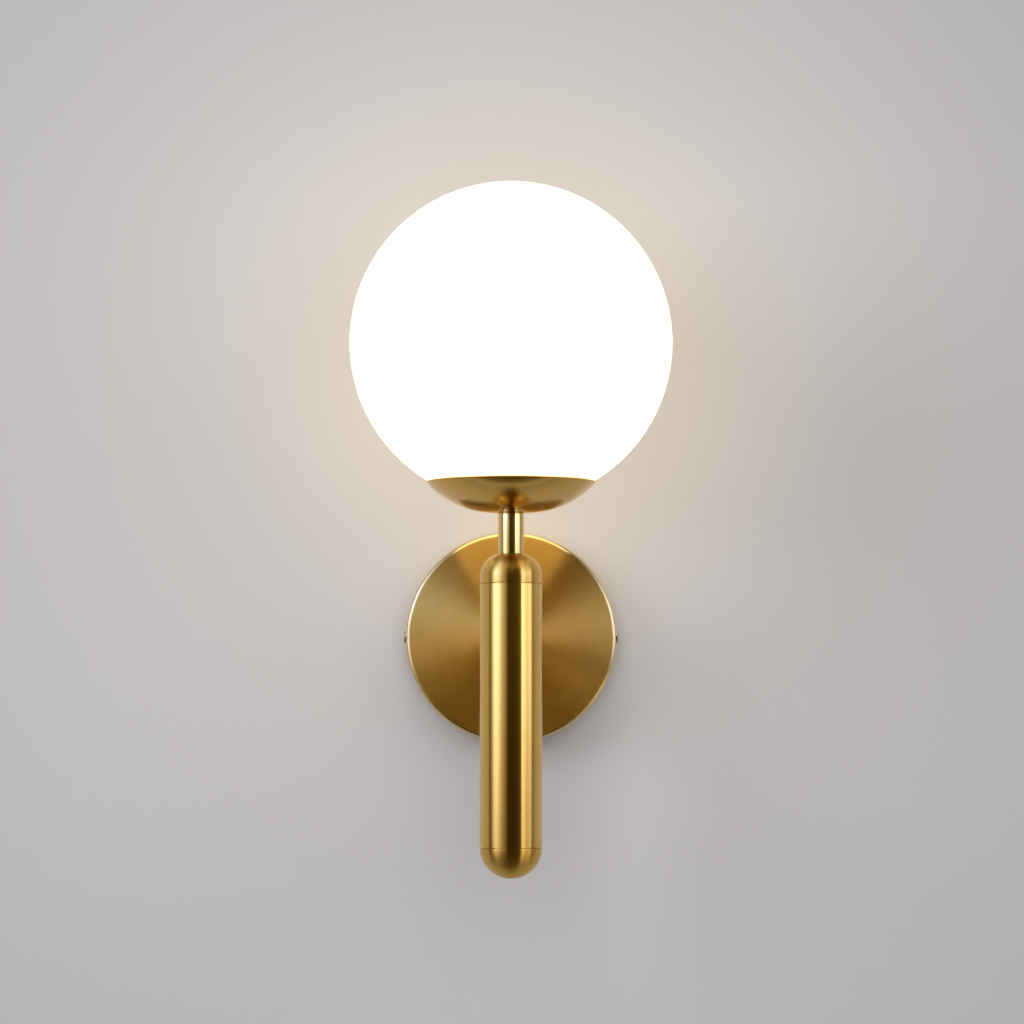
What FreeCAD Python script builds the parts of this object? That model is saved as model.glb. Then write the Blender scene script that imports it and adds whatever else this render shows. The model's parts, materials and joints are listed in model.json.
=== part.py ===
import FreeCAD, Part
import math
import os
import Sketcher
from FreeCAD import Placement, Rotation, Vector

# A wall lamp: a round plate on the wall, an arm out to an upright bar, a stem on
# the bar, and a shallow cup that holds a glass globe round a capsule bulb.
#
# Millimetres. The origin is on the wall, at the centre of the wall plate.
# +Z is up, and the lamp stands out of the wall along -Y.
# The lamp axis is the upright line through the bar, the stem, the cup and the globe.

DOC = FreeCAD.newDocument("GlobeWallSconce")

# The driving dimensions. "height" and "level" are above the plate's centre, "depth" is out
# of the wall, and a radius is written as such. Everything else is worked out from these.
SIZES = {
    # the whole lamp
    "axis_to_wall": 100.0,
    "seam_height": 23.1,
    "thread_gap": 0.02,
    "cut_past": 1.0,
    # bracket on the wall
    "bracket_thickness": 1.6,
    "strip_half_height": 12.0,
    "strip_shoulder": 41.0,
    "ear_face": 49.0,
    "ear_half_width": 7.0,
    "ear_depth": 16.0,
    "ear_neck": 2.0,
    "ear_bend_radius": 3.0,
    "tab_half_width": 13.0,
    "tab_reach": 38.0,
    "wall_slot_spacing": 60.0,
    "wall_slot_length": 16.0,
    "wall_slot_width": 4.8,
    "cable_hole_radius": 8.0,
    "earth_screw_offset": 15.5,
    # wall plate
    "plate_radius": 51.0,
    "plate_wall": 1.0,
    "plate_face": 1.2,
    "plate_depth": 20.5,
    "plate_wall_gap": 0.5,
    "plate_edge_radius": 2.0,
    "plate_inner_edge_radius": 1.0,
    "nipple_hole_gap": 0.1,
    "side_screw_depth": 10.5,
    "side_hole_gap": 0.2,
    # screws
    "small_screw_radius": 1.5,
    "small_screw_head_radius": 3.0,
    "small_screw_head_height": 1.7,
    "side_screw_length": 7.0,
    "earth_screw_radius": 2.0,
    "earth_screw_head_radius": 3.6,
    "earth_screw_head_height": 2.4,
    "drive_width": 0.7,
    "drive_depth": 0.9,
    "drive_reach": 0.55,
    "screw_end_gap": 0.2,
    # hollow threaded tubes, with their nuts and washers
    "nipple_radius": 5.0,
    "nipple_bore": 3.6,
    "arm_nipple_start": 12.5,
    "nipple_past_nut": 1.0,
    "nut_flats": 14.0,
    "nut_height": 3.2,
    "washer_radius": 8.0,
    "washer_thickness": 0.8,
    "washer_tooth_depth": 1.1,
    # arm
    "arm_radius": 8.0,
    "arm_bore": 5.3,
    # bar
    "bar_radius": 14.5,
    "bar_wall": 1.2,
    "bar_length": 122.3,
    "seam_chamfer": 0.2,
    "spigot_gap": 0.05,
    "spigot_length": 5.0,
    "cap_wall": 2.0,
    "top_cap_height": 13.7,
    "top_cap_corner": 10.5,
    "top_cap_inner_corner": 5.25,
    "top_cap_ceiling": 3.0,
    "foot_recess": 0.3,
    "bottom_cap_height": 14.1,
    "bottom_cap_hollow": 2.35,
    "bottom_cap_bore": 7.05,
    "joint_block_radius": 13.2,
    "joint_block_half": 11.0,
    "joint_room_half": 5.7,
    "tie_rod_radius": 3.0,
    "tie_rod_top_gap": 0.5,
    "tie_rod_foot_gap": 1.0,
    "tie_boss_radius": 6.0,
    # stem
    "stem_radius": 6.0,
    "stem_bore": 5.2,
    "stem_length": 19.5,
    "stem_chamfer": 0.25,
    # cup under the globe
    "cup_radius": 39.5,
    "cup_floor_radius": 8.0,
    "cup_depth": 14.2,
    "cup_wall": 0.8,
    # threaded carrier in the cup, ring in the glass, and seal between them
    "carrier_boss": 1.9,
    "carrier_flange_radius": 19.0,
    "carrier_flange": 1.2,
    "carrier_disc": 2.5,
    "globe_thread_radius": 16.45,
    "carrier_bore": 14.8,
    "carrier_height": 14.5,
    "running_gap": 0.05,
    "seal_radius": 18.9,
    "seal_clearance": 0.35,
    "seal_thickness": 1.5,
    "ring_flange_radius": 20.5,
    "ring_sleeve_radius": 18.85,
    "ring_top": 15.0,
    # globe
    "globe_radius": 75.0,
    "globe_wall": 2.4,
    "globe_mouth": 19.0,
    "globe_above_rim": 64.8,
    "bond_reach": 2.6,
    # holder of the bulb
    "strap_half_width": 6.5,
    "strap_thickness": 1.0,
    "strap_bend_radius": 2.0,
    "strap_height": 20.0,
    "holder_screw_height": 17.0,
    "holder_lift": 12.0,
    "holder_flat": 10.0,
    "holder_radius": 11.9,
    "holder_height": 20.0,
    "holder_seat_length": 15.6,
    "holder_seat_width": 8.2,
    "holder_seat_depth": 3.0,
    "holder_screw_reach": 2.4,
    "pin_offset": 4.5,
    "pin_slot_length": 3.8,
    "pin_slot_width": 1.6,
    "pin_room_length": 4.0,
    "pin_room_width": 3.8,
    "pin_room_top": 14.0,
    "contact_start": 4.6,
    "contact_height": 8.6,
    "contact_sheet": 0.4,
    "contact_width": 3.4,
    # bulb
    "bulb_pin_radius": 0.5,
    "bulb_pin_half_width": 1.1,
    "bulb_pin_length": 11.0,
    "bulb_foot_length": 14.8,
    "bulb_foot_width": 7.4,
    "bulb_radius": 8.0,
    "bulb_base_top": 19.0,
    "bulb_base_wall": 1.4,
    "bulb_base_floor": 2.0,
    "bulb_base_lift": 0.3,
    "bulb_dome_radius": 7.7,
    "bulb_dome_wall": 0.8,
    "bulb_length": 50.0,
    "light_board_width": 8.4,
    "light_board_thickness": 1.2,
    "light_board_top": 41.0,
    # terminal block on the bracket
    "block_width": 17.0,
    "block_length": 17.0,
    "block_height": 13.0,
    "block_top": -18.0,
    "pole_offset": 4.0,
    "pole_depth": 6.0,
    "clamp_radius": 2.2,
    "clamp_bore": 1.5,
    "clamp_length": 15.0,
    "clamp_screw_radius": 1.2,
    "clamp_screw_spread": 4.2,
    "clamp_screw_length": 3.6,
    "clamp_screw_head": 1.8,
    "clamp_screw_head_height": 1.44,
    "screw_well_gap": 0.1,
    "block_screw_radius": 1.25,
    "block_screw_head_radius": 1.75,
    "block_screw_head_height": 1.2,
    # earth lugs and inner wires
    "lug_sheet": 0.8,
    "lug_barrel_radius": 1.9,
    "plate_lug_radius": 7.6,
    "plate_lug_barrel_start": 9.5,
    "bracket_lug_radius": 4.2,
    "bracket_lug_barrel_start": 6.0,
    "lug_barrel_length": 6.0,
    "lug_overlap": 1.0,
    "wire_radius": 1.1,
    "wire_offset": 1.3,
    "wire_bend": 6.5,
    "wire_in_block": 6.0,
    "wire_out_of_block": 2.0,
    "wire_meeting": 8.0,
    "wire_turn_in_block": 5.5,
    "wire_sway": 8.0,
    "wire_spread_bend": 3.3,
    "wire_spread_start": 1.0,
    "wire_spread_rise": 3.7,
    "wire_in_barrel": 1.0,
    "earth_loop_top": 32.0,
    "earth_loop_shoulder": 24.0,
    "earth_loop_side_bend": 9.0,
    "earth_loop_top_bend": 7.0,
}

SHEET = DOC.addObject("Spreadsheet::Sheet", "sizes")
for row, (alias, value) in enumerate(SIZES.items(), start=1):
    SHEET.set("A%d" % row, alias.replace("_", " "))
    SHEET.set("B%d" % row, str(value))
    SHEET.setAlias("B%d" % row, alias)
DOC.recompute()

# Levels on the lamp axis, as expressions of the sheet's cells.
LAMP_Y = "-sizes.axis_to_wall"
CAP_TOP = "(sizes.seam_height + sizes.top_cap_height)"
STEM_FOOT = "(%s - sizes.foot_recess)" % CAP_TOP
CUP_BASE = "(%s + sizes.stem_length)" % STEM_FOOT
CUP_FLOOR = "(%s + sizes.cup_wall)" % CUP_BASE
CUP_RIM = "(%s + sizes.cup_depth)" % CUP_BASE
GLOBE_CENTRE = "(%s + sizes.globe_above_rim)" % CUP_RIM
DISC_TOP = "(%s + sizes.carrier_boss + sizes.carrier_disc)" % CUP_FLOOR
HOLDER_BASE = "(%s + sizes.holder_lift)" % DISC_TOP
BULB_SEAT = "(%s + sizes.holder_height - sizes.holder_seat_depth)" % HOLDER_BASE
SEAM_FOOT = "(sizes.seam_height - sizes.bar_length)"
STRAP_TOP = "(%s + sizes.strap_thickness)" % DISC_TOP
STEM_NUT_FOOT = "(%s + sizes.washer_thickness)" % STRAP_TOP
NIPPLE_TOP = "(%s + sizes.nut_height + sizes.nipple_past_nut)" % STEM_NUT_FOOT

# Turns that lay a piece drawn upright, along local +Z, on its real axis.
OUT_OF_WALL = Rotation(Vector(1, 0, 0), 90)
TO_RIGHT = Rotation(Vector(0, 1, 0), 90)
TO_LEFT = Rotation(Vector(0, 1, 0), -90)

WASHER_TEETH = 12
LEAST_CUT = 1e-3
WIRE_VOLUME_ERROR = 0.01

NODES = []


def number(expression):
    """The value that an expression of the sheet's cells has now."""
    return float(SHEET.evalExpression(str(expression)))


def place(item, x="0", y="0", z="0", turn=None):
    """Put an object at a bound place, turned by a fixed rotation."""
    item.Placement = Placement(Vector(number(x), number(y), number(z)), turn or Rotation())
    for axis, expression in zip("xyz", (x, y, z)):
        item.setExpression(".Placement.Base." + axis, expression)


def new_body(label, **where):
    """A body of its own, placed in the lamp's frame."""
    body = DOC.addObject("PartDesign::Body", label)
    body.Label = label
    place(body, **where)
    return body


def origin_plane(body, role):
    """One of the body's own origin planes."""
    return next(item for item in body.Origin.OriginFeatures if item.Role == role)


def new_sketch(body, role="XZ_Plane", offset=None):
    """An empty sketch on an origin plane, or at a bound distance from it."""
    sketch = body.newObject("Sketcher::SketchObject", "sketch")
    sketch.AttachmentSupport = [(origin_plane(body, role), "")]
    sketch.MapMode = "FlatFace"
    if offset:
        sketch.AttachmentOffset = Placement(Vector(0, 0, number(offset)), Rotation())
        sketch.setExpression(".AttachmentOffset.Base.z", offset)
    return sketch


def bind(sketch, kind, *where):
    """Add a constraint whose last argument is an expression, and keep it bound."""
    *elements, expression = where
    index = sketch.addConstraint(Sketcher.Constraint(kind, *elements, number(expression)))
    sketch.setExpression("Constraints[%d]" % index, str(expression))


def fix_point(sketch, element, position, x, y):
    """Hold a point of the sketch at bound coordinates from its origin."""
    if x == "0":
        sketch.addConstraint(Sketcher.Constraint("PointOnObject", element, position, -2))
    else:
        bind(sketch, "DistanceX", -1, 1, element, position, x)
    if y == "0":
        sketch.addConstraint(Sketcher.Constraint("PointOnObject", element, position, -1))
    else:
        bind(sketch, "DistanceY", -1, 1, element, position, y)


def draw_outline(sketch, corners):
    """Draw a closed outline through bound corners.

    A corner is (x, y), and its side to the next corner is straight, or
    (x, y, radius, turn), and its side is an arc under half a circle that turns left or right.
    """
    points = [Vector(number(corner[0]), number(corner[1]), 0) for corner in corners]
    first_element = sketch.GeometryCount
    starts = []
    ends = []
    for index, corner in enumerate(corners):
        here = points[index]
        there = points[(index + 1) % len(points)]
        if len(corner) == 2:
            sketch.addGeometry(Part.LineSegment(here, there), False)
            starts.append(1)
            ends.append(2)
            continue
        radius = number(corner[2])
        left = corner[3] == "left"
        chord = there - here
        rise = math.sqrt(max(radius ** 2 - (chord.Length / 2) ** 2, 0.0))
        side = Vector(-chord.y, chord.x, 0).normalize() * (rise if left else -rise)
        centre = (here + there) * 0.5 + side
        begin, finish = (here, there) if left else (there, here)
        angles = [math.atan2(point.y - centre.y, point.x - centre.x) for point in (begin, finish)]
        circle = Part.Circle(centre, Vector(0, 0, 1), radius)
        sketch.addGeometry(Part.ArcOfCircle(circle, *angles), False)
        starts.append(1 if left else 2)
        ends.append(2 if left else 1)
    for index, corner in enumerate(corners):
        element = first_element + index
        following = (index + 1) % len(corners)
        sketch.addConstraint(Sketcher.Constraint(
            "Coincident", element, ends[index], first_element + following, starts[following]))
        fix_point(sketch, element, starts[index], str(corner[0]), str(corner[1]))
        if len(corner) > 2:
            bind(sketch, "Radius", element, corner[2])


def draw_circle(sketch, x, y, radius):
    """Draw a circle with a bound centre and radius."""
    centre = Vector(number(x), number(y), 0)
    element = sketch.addGeometry(Part.Circle(centre, Vector(0, 0, 1), number(radius)), False)
    fix_point(sketch, element, 3, x, y)
    bind(sketch, "Radius", element, radius)


def draw_rectangle(sketch, left, bottom, right, top):
    """Draw a rectangle between bound sides."""
    draw_outline(sketch, [(left, bottom), (right, bottom), (right, top), (left, top)])


def draw_slot(sketch, centre_x, length, width):
    """Draw a slot along the sketch's horizontal axis, round at both ends."""
    middle = number(centre_x)
    radius = number(width) / 2
    reach = (number(length) - number(width)) / 2
    first = sketch.GeometryCount
    for side in (1, -1):
        circle = Part.Circle(Vector(middle + side * reach, 0, 0), Vector(0, 0, 1), radius)
        turn = 0 if side > 0 else math.pi
        sketch.addGeometry(Part.ArcOfCircle(circle, turn - math.pi / 2, turn + math.pi / 2), False)
    for side in (1, -1):
        begin = Vector(middle + side * reach, side * radius, 0)
        finish = Vector(middle - side * reach, side * radius, 0)
        sketch.addGeometry(Part.LineSegment(begin, finish), False)
    right, left, upper, lower = range(first, first + 4)
    for arc, arc_end, line, line_end in (
            (right, 2, upper, 1), (upper, 2, left, 1), (left, 2, lower, 1), (lower, 2, right, 1)):
        sketch.addConstraint(Sketcher.Constraint("Tangent", arc, arc_end, line, line_end))
    half_reach = "(%s - %s) / 2" % (length, width)
    fix_point(sketch, right, 3, "%s + %s" % (centre_x, half_reach), "0")
    bind(sketch, "DistanceX", -1, 1, left, 3, "%s - %s" % (centre_x, half_reach))
    bind(sketch, "Radius", right, "%s / 2" % width)


def revolve(body, corners, role="XZ_Plane"):
    """Turn an outline of (radius, level) corners round the body's own upright axis."""
    sketch = new_sketch(body, role)
    draw_outline(sketch, corners)
    feature = body.newObject("PartDesign::Revolution", "turned")
    feature.Profile = sketch
    feature.ReferenceAxis = (sketch, ["V_Axis"])
    feature.Angle = 360
    return feature


def pad(body, sketch, length, symmetric=False, reverse=False):
    """Push a sketch out into a solid."""
    feature = body.newObject("PartDesign::Pad", "pad")
    feature.Profile = sketch
    feature.SideType = "Symmetric" if symmetric else "One side"
    feature.Reversed = reverse
    feature.Length = number(length)
    feature.setExpression("Length", length)
    return feature


def pocket(body, sketch, length=None, reverse=False):
    """Cut a sketch through the whole body both ways, or to a bound depth one way.

    The volume is compared, because a cut that points away from the solid removes nothing.
    """
    DOC.recompute()
    before = body.Shape.Volume
    feature = body.newObject("PartDesign::Pocket", "pocket")
    feature.Profile = sketch
    if length is None:
        feature.Type = "ThroughAll"
        feature.SideType = "Symmetric"
    else:
        feature.Type = "Length"
        feature.Length = number(length)
        feature.setExpression("Length", length)
        feature.Reversed = reverse
    DOC.recompute()
    if body.Shape.Volume > before - LEAST_CUT:
        raise RuntimeError("a pocket of %s removes nothing" % body.Label)
    return feature


def mirror(body, feature, role="YZ_Plane"):
    """Repeat a feature on the other side of an origin plane."""
    mirrored = body.newObject("PartDesign::Mirrored", "mirrored")
    mirrored.Originals = [feature]
    mirrored.MirrorPlane = (origin_plane(body, role), [""])
    body.Tip = mirrored
    return mirrored


def keep(item):
    """Count an object as one sub-part of the lamp."""
    NODES.append(item)
    return item


def keep_group(label, items):
    """Count several like solids as one sub-part."""
    group = DOC.addObject("Part::Compound", label)
    group.Label = label
    group.Links = items
    return keep(group)


def screw(label, shank, length, head, head_height, turn=None, **where):
    """A pan-head screw with a cross drive: its head stands on local z = 0, its shank below."""
    body = new_body(label, turn=turn, **where)
    dome_radius = "(({0})^2 + ({1})^2) / (2 * ({1}))".format(head, head_height)
    revolve(body, [
        ("0", "-(%s)" % length),
        (shank, "-(%s)" % length),
        (shank, "0"),
        (head, "0", dome_radius, "left"),
        ("0", head_height),
    ])
    arm = "(%s) * sizes.drive_reach" % head
    half = "sizes.drive_width / 2"
    drive = new_sketch(body, "XY_Plane", head_height)
    draw_outline(drive, [
        (arm, "-" + half), (arm, half), (half, half),
        (half, arm), ("-" + half, arm), ("-" + half, half),
        ("-(%s)" % arm, half), ("-(%s)" % arm, "-" + half), ("-" + half, "-" + half),
        ("-" + half, "-(%s)" % arm), (half, "-(%s)" % arm), (half, "-" + half),
    ])
    pocket(body, drive, "sizes.drive_depth")
    return body


def hex_nut(label, turn=None, **where):
    """A hexagon nut on the hollow threaded tube, standing on local z = 0."""
    body = new_body(label, turn=turn, **where)
    sketch = new_sketch(body, "XY_Plane")
    corner = "sizes.nut_flats / sqrt(3)"
    flat = "sizes.nut_flats / 2"
    draw_outline(sketch, [
        (corner, "0"), (corner + " / 2", flat), ("-(%s) / 2" % corner, flat),
        ("-(%s)" % corner, "0"), ("-(%s) / 2" % corner, "-(%s)" % flat),
        (corner + " / 2", "-(%s)" % flat),
    ])
    draw_circle(sketch, "0", "0", "sizes.nipple_radius + sizes.thread_gap")
    pad(body, sketch, "sizes.nut_height")
    return keep(body)


def toothed_washer(label, turn=None, **where):
    """A lock washer with notches all round its edge, standing on local z = 0."""
    body = new_body(label, turn=turn, **where)
    ring = new_sketch(body, "XY_Plane")
    draw_circle(ring, "0", "0", "sizes.washer_radius")
    draw_circle(ring, "0", "0", "sizes.nipple_radius + sizes.thread_gap")
    pad(body, ring, "sizes.washer_thickness")
    notch = new_sketch(body, "XY_Plane")
    outer = "sizes.washer_radius + sizes.washer_tooth_depth"
    inner = "sizes.washer_radius - sizes.washer_tooth_depth"
    half = "sizes.washer_tooth_depth / 2"
    draw_rectangle(notch, inner, "-" + half, outer, half)
    cut = pocket(body, notch)
    pattern = body.newObject("PartDesign::PolarPattern", "teeth")
    pattern.Originals = [cut]
    pattern.Axis = (notch, ["N_Axis"])
    pattern.Angle = 360
    pattern.Occurrences = WASHER_TEETH
    body.Tip = pattern
    return keep(body)


def wall_bracket():
    """The steel strip on the wall, with two bent ears, a lower tab and its holes."""
    body = new_body("wall_bracket", turn=OUT_OF_WALL)
    end = "(sizes.ear_face - sizes.ear_bend_radius)"
    neck = "(%s - sizes.ear_neck)" % end
    high = "sizes.strip_half_height"
    shoulder = "sizes.strip_shoulder"
    ear = "sizes.ear_half_width"
    plate = new_sketch(body, "XY_Plane")
    draw_outline(plate, [
        (end, "-" + ear), (end, ear), (neck, ear), (shoulder, high),
        ("-" + shoulder, high), ("-" + neck, ear), ("-" + end, ear), ("-" + end, "-" + ear),
        ("-" + neck, "-" + ear), ("-" + shoulder, "-" + high), ("-sizes.tab_half_width", "-" + high),
        ("-sizes.tab_half_width", "-sizes.tab_reach"), ("sizes.tab_half_width", "-sizes.tab_reach"),
        ("sizes.tab_half_width", "-" + high), (shoulder, "-" + high), (neck, "-" + ear),
    ])
    draw_circle(plate, "0", "0", "sizes.cable_hole_radius")
    draw_circle(plate, "-sizes.earth_screw_offset", "0",
                "sizes.earth_screw_radius + sizes.thread_gap")
    draw_circle(plate, "0", "sizes.block_top - sizes.block_length / 2",
                "sizes.block_screw_radius + sizes.thread_gap")
    pad(body, plate, "sizes.bracket_thickness")
    side = new_sketch(body, "XZ_Plane")
    face, bend, sheet = "sizes.ear_face", "sizes.ear_bend_radius", "sizes.bracket_thickness"
    inside = "%s - %s" % (face, sheet)
    draw_outline(side, [
        (neck, "0"), (end, "0", bend, "left"), (face, bend), (face, "sizes.ear_depth"),
        (inside, "sizes.ear_depth"), (inside, bend, "%s - %s" % (bend, sheet), "right"),
        (end, sheet), (neck, sheet),
    ])
    bent_ear = pad(body, side, "2 * " + ear, symmetric=True)
    mirror(body, bent_ear)
    for sign in ("", "-"):
        slot = new_sketch(body, "XY_Plane")
        draw_slot(slot, sign + "sizes.wall_slot_spacing / 2", "sizes.wall_slot_length",
                  "sizes.wall_slot_width")
        pocket(body, slot)
    tapped = new_sketch(body, "YZ_Plane")
    draw_circle(tapped, "0", "sizes.side_screw_depth",
                "sizes.small_screw_radius + sizes.thread_gap")
    pocket(body, tapped)
    return keep(body)


def canopy():
    """The round wall plate: a spun shell, open at the back, with a rounded front edge."""
    body = new_body("canopy", turn=OUT_OF_WALL)
    outer, front, edge = "sizes.plate_radius", "sizes.plate_depth", "sizes.plate_edge_radius"
    inner = outer + " - sizes.plate_wall"
    back = front + " - sizes.plate_face"
    inner_edge = "sizes.plate_inner_edge_radius"
    hole = "sizes.nipple_radius + sizes.nipple_hole_gap"
    revolve(body, [
        (inner, "sizes.plate_wall_gap"), (outer, "sizes.plate_wall_gap"),
        (outer, front + " - " + edge, edge, "left"), (outer + " - " + edge, front),
        (hole, front), (hole, back),
        ("%s - %s" % (inner, inner_edge), back, inner_edge, "right"),
        (inner, "%s - %s" % (back, inner_edge)),
    ])
    sides = new_sketch(body, "YZ_Plane")
    draw_circle(sides, "0", "sizes.side_screw_depth",
                "sizes.small_screw_radius + sizes.side_hole_gap")
    pocket(body, sides)
    return keep(body)


def canopy_side_screws():
    """The two small screws that hold the wall plate on the bracket's ears."""
    screws = []
    for name, sign, turn in (("right", "", TO_RIGHT), ("left", "-", TO_LEFT)):
        screws.append(screw(
            "side_screw_" + name, "sizes.small_screw_radius", "sizes.side_screw_length",
            "sizes.small_screw_head_radius", "sizes.small_screw_head_height", turn=turn,
            x=sign + "sizes.plate_radius", y="-sizes.side_screw_depth"))
    return keep_group("canopy_side_screws", screws)


def earth_screw():
    """The screw that holds the bracket's earth lug."""
    head = "(sizes.bracket_thickness + sizes.lug_sheet)"
    body = screw(
        "earth_screw", "sizes.earth_screw_radius", head + " - sizes.screw_end_gap",
        "sizes.earth_screw_head_radius", "sizes.earth_screw_head_height", turn=OUT_OF_WALL,
        x="-sizes.earth_screw_offset", y="-" + head)
    return keep(body)


def nipple(label, length, turn=None, **where):
    """A hollow threaded tube, from local z = 0 up."""
    body = new_body(label, turn=turn, **where)
    revolve(body, [
        ("sizes.nipple_bore", "0"), ("sizes.nipple_radius", "0"),
        ("sizes.nipple_radius", length), ("sizes.nipple_bore", length),
    ])
    return keep(body)


def arm_tube():
    """The arm between wall plate and bar, cut to the bar's round at its front end."""
    body = new_body("arm_tube", turn=OUT_OF_WALL)
    revolve(body, [
        ("sizes.arm_bore", "sizes.plate_depth"), ("sizes.arm_radius", "sizes.plate_depth"),
        ("sizes.arm_radius", "sizes.axis_to_wall"), ("sizes.arm_bore", "sizes.axis_to_wall"),
    ])
    saddle = new_sketch(body, "XZ_Plane")
    draw_circle(saddle, "0", "sizes.axis_to_wall", "sizes.bar_radius")
    pocket(body, saddle)
    return keep(body)


def bar_tube():
    """The long tube of the bar, from the top seam down, with the arm's hole in its back."""
    body = new_body("bar_tube", y=LAMP_Y, z="sizes.seam_height")
    outer, edge, foot = "sizes.bar_radius", "sizes.seam_chamfer", "-sizes.bar_length"
    inner = outer + " - sizes.bar_wall"
    revolve(body, [
        (inner, foot), (outer + " - " + edge, foot), (outer, foot + " + " + edge),
        (outer, "-" + edge), (outer + " - " + edge, "0"), (inner, "0"),
    ])
    hole = new_sketch(body, "XZ_Plane")
    draw_circle(hole, "0", "-sizes.seam_height", "sizes.nipple_radius + sizes.nipple_hole_gap")
    pocket(body, hole, "sizes.bar_radius + sizes.cut_past")
    return keep(body)


def bar_top_cap():
    """The rounded cap on the bar, hollow, with a spigot in the tube and a seat for the stem."""
    body = new_body("bar_top_cap", y=LAMP_Y, z="sizes.seam_height")
    outer, top, corner = "sizes.bar_radius", "sizes.top_cap_height", "sizes.top_cap_corner"
    spigot = "sizes.bar_radius - sizes.bar_wall - sizes.spigot_gap"
    hollow = spigot + " - sizes.cap_wall"
    hole = "sizes.nipple_radius + sizes.spigot_gap"
    seat = "(sizes.stem_radius + sizes.spigot_gap)"
    seat_level = top + " - sizes.foot_recess"
    seat_edge = "{top} - {corner} + sqrt({corner}^2 - ({seat} - {outer} + {corner})^2)".format(
        top=top, corner=corner, seat=seat, outer=outer)
    ceiling = top + " - sizes.top_cap_ceiling"
    inner_corner = "sizes.top_cap_inner_corner"
    revolve(body, [
        (hollow, "-sizes.spigot_length"), (spigot, "-sizes.spigot_length"), (spigot, "0"),
        (outer + " - sizes.seam_chamfer", "0"), (outer, "sizes.seam_chamfer"),
        (outer, top + " - " + corner, corner, "left"), (seat, seat_edge),
        (seat, seat_level), (hole, seat_level), (hole, ceiling),
        ("%s - %s" % (hollow, inner_corner), ceiling, inner_corner, "right"),
        (hollow, "%s - %s" % (ceiling, inner_corner)),
    ])
    return keep(body)


def bar_bottom_cap():
    """The round cap under the bar, with a spigot and a boss threaded for the tie rod."""
    body = new_body("bar_bottom_cap", y=LAMP_Y, z=SEAM_FOOT)
    outer, deep = "sizes.bar_radius", "sizes.bottom_cap_height"
    spigot = "sizes.bar_radius - sizes.bar_wall - sizes.spigot_gap"
    hollow = spigot + " - sizes.cap_wall"
    bore = "sizes.tie_rod_radius + sizes.thread_gap"
    dome = "({0}^2 + {1}^2) / (2 * {1})".format(outer, deep)
    floor = "-sizes.bottom_cap_hollow"
    end = "-sizes.bottom_cap_bore"
    revolve(body, [
        ("0", "-" + deep, dome, "left"), (outer, "-sizes.seam_chamfer"),
        (outer + " - sizes.seam_chamfer", "0"), (spigot, "0"),
        (spigot, "sizes.spigot_length"), (hollow, "sizes.spigot_length"), (hollow, floor),
        ("sizes.tie_boss_radius", floor), ("sizes.tie_boss_radius", "sizes.spigot_length"),
        (bore, "sizes.spigot_length"), (bore, end), ("0", end),
    ])
    return keep(body)


def bar_joint_block():
    """The turned block inside the bar, where arm, stem and tie rod screw together."""
    body = new_body("bar_joint_block", y=LAMP_Y)
    outer = "sizes.joint_block_radius"
    half = "sizes.joint_block_half"
    room = "sizes.joint_room_half"
    rod = "sizes.tie_rod_radius + sizes.thread_gap"
    thread = "sizes.nipple_radius + sizes.thread_gap"
    revolve(body, [
        (rod, "-" + half), (outer, "-" + half), (outer, half),
        (thread, half), (thread, "-" + room), (rod, "-" + room),
    ])
    side = new_sketch(body, "XZ_Plane")
    draw_circle(side, "0", "0", thread)
    pocket(body, side, outer + " + sizes.cut_past")
    return keep(body)


def tie_rod():
    """The rod that pulls the bottom cap up against the tube."""
    body = new_body("tie_rod", y=LAMP_Y)
    top = "-(sizes.joint_room_half + sizes.tie_rod_top_gap)"
    foot = "%s - sizes.bottom_cap_bore + sizes.tie_rod_foot_gap" % SEAM_FOOT
    revolve(body, [
        ("0", foot), ("sizes.tie_rod_radius", foot), ("sizes.tie_rod_radius", top), ("0", top),
    ])
    return keep(body)


def stem_tube():
    """The thin polished tube between bar and cup, its end edges broken."""
    body = new_body("stem_tube", y=LAMP_Y, z=STEM_FOOT)
    outer, inner = "sizes.stem_radius", "sizes.stem_bore"
    edge, top = "sizes.stem_chamfer", "sizes.stem_length"
    revolve(body, [
        (inner, "0"), (outer + " - " + edge, "0"), (outer, edge),
        (outer, top + " - " + edge), (outer + " - " + edge, top), (inner, top),
    ])
    return keep(body)


def shade_cup():
    """The shallow dish under the globe: a flat floor that runs into one round wall."""
    body = new_body("shade_cup", y=LAMP_Y, z=CUP_BASE)
    rim, floor = "sizes.cup_radius", "sizes.cup_floor_radius"
    deep, sheet = "sizes.cup_depth", "sizes.cup_wall"
    bowl = "(({0} - {1})^2 + {2}^2) / (2 * {2})".format(rim, floor, deep)
    inner_bowl = "(%s - %s)" % (bowl, sheet)
    inner_rim = "{0} + sqrt({1}^2 - ({2} - {3})^2)".format(floor, inner_bowl, bowl, deep)
    hole = "sizes.nipple_radius + sizes.spigot_gap"
    revolve(body, [
        (hole, "0"), (floor, "0", bowl, "left"), (rim, deep),
        (inner_rim, deep, inner_bowl, "right"), (floor, sheet), (hole, sheet),
    ])
    return keep(body)


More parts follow.
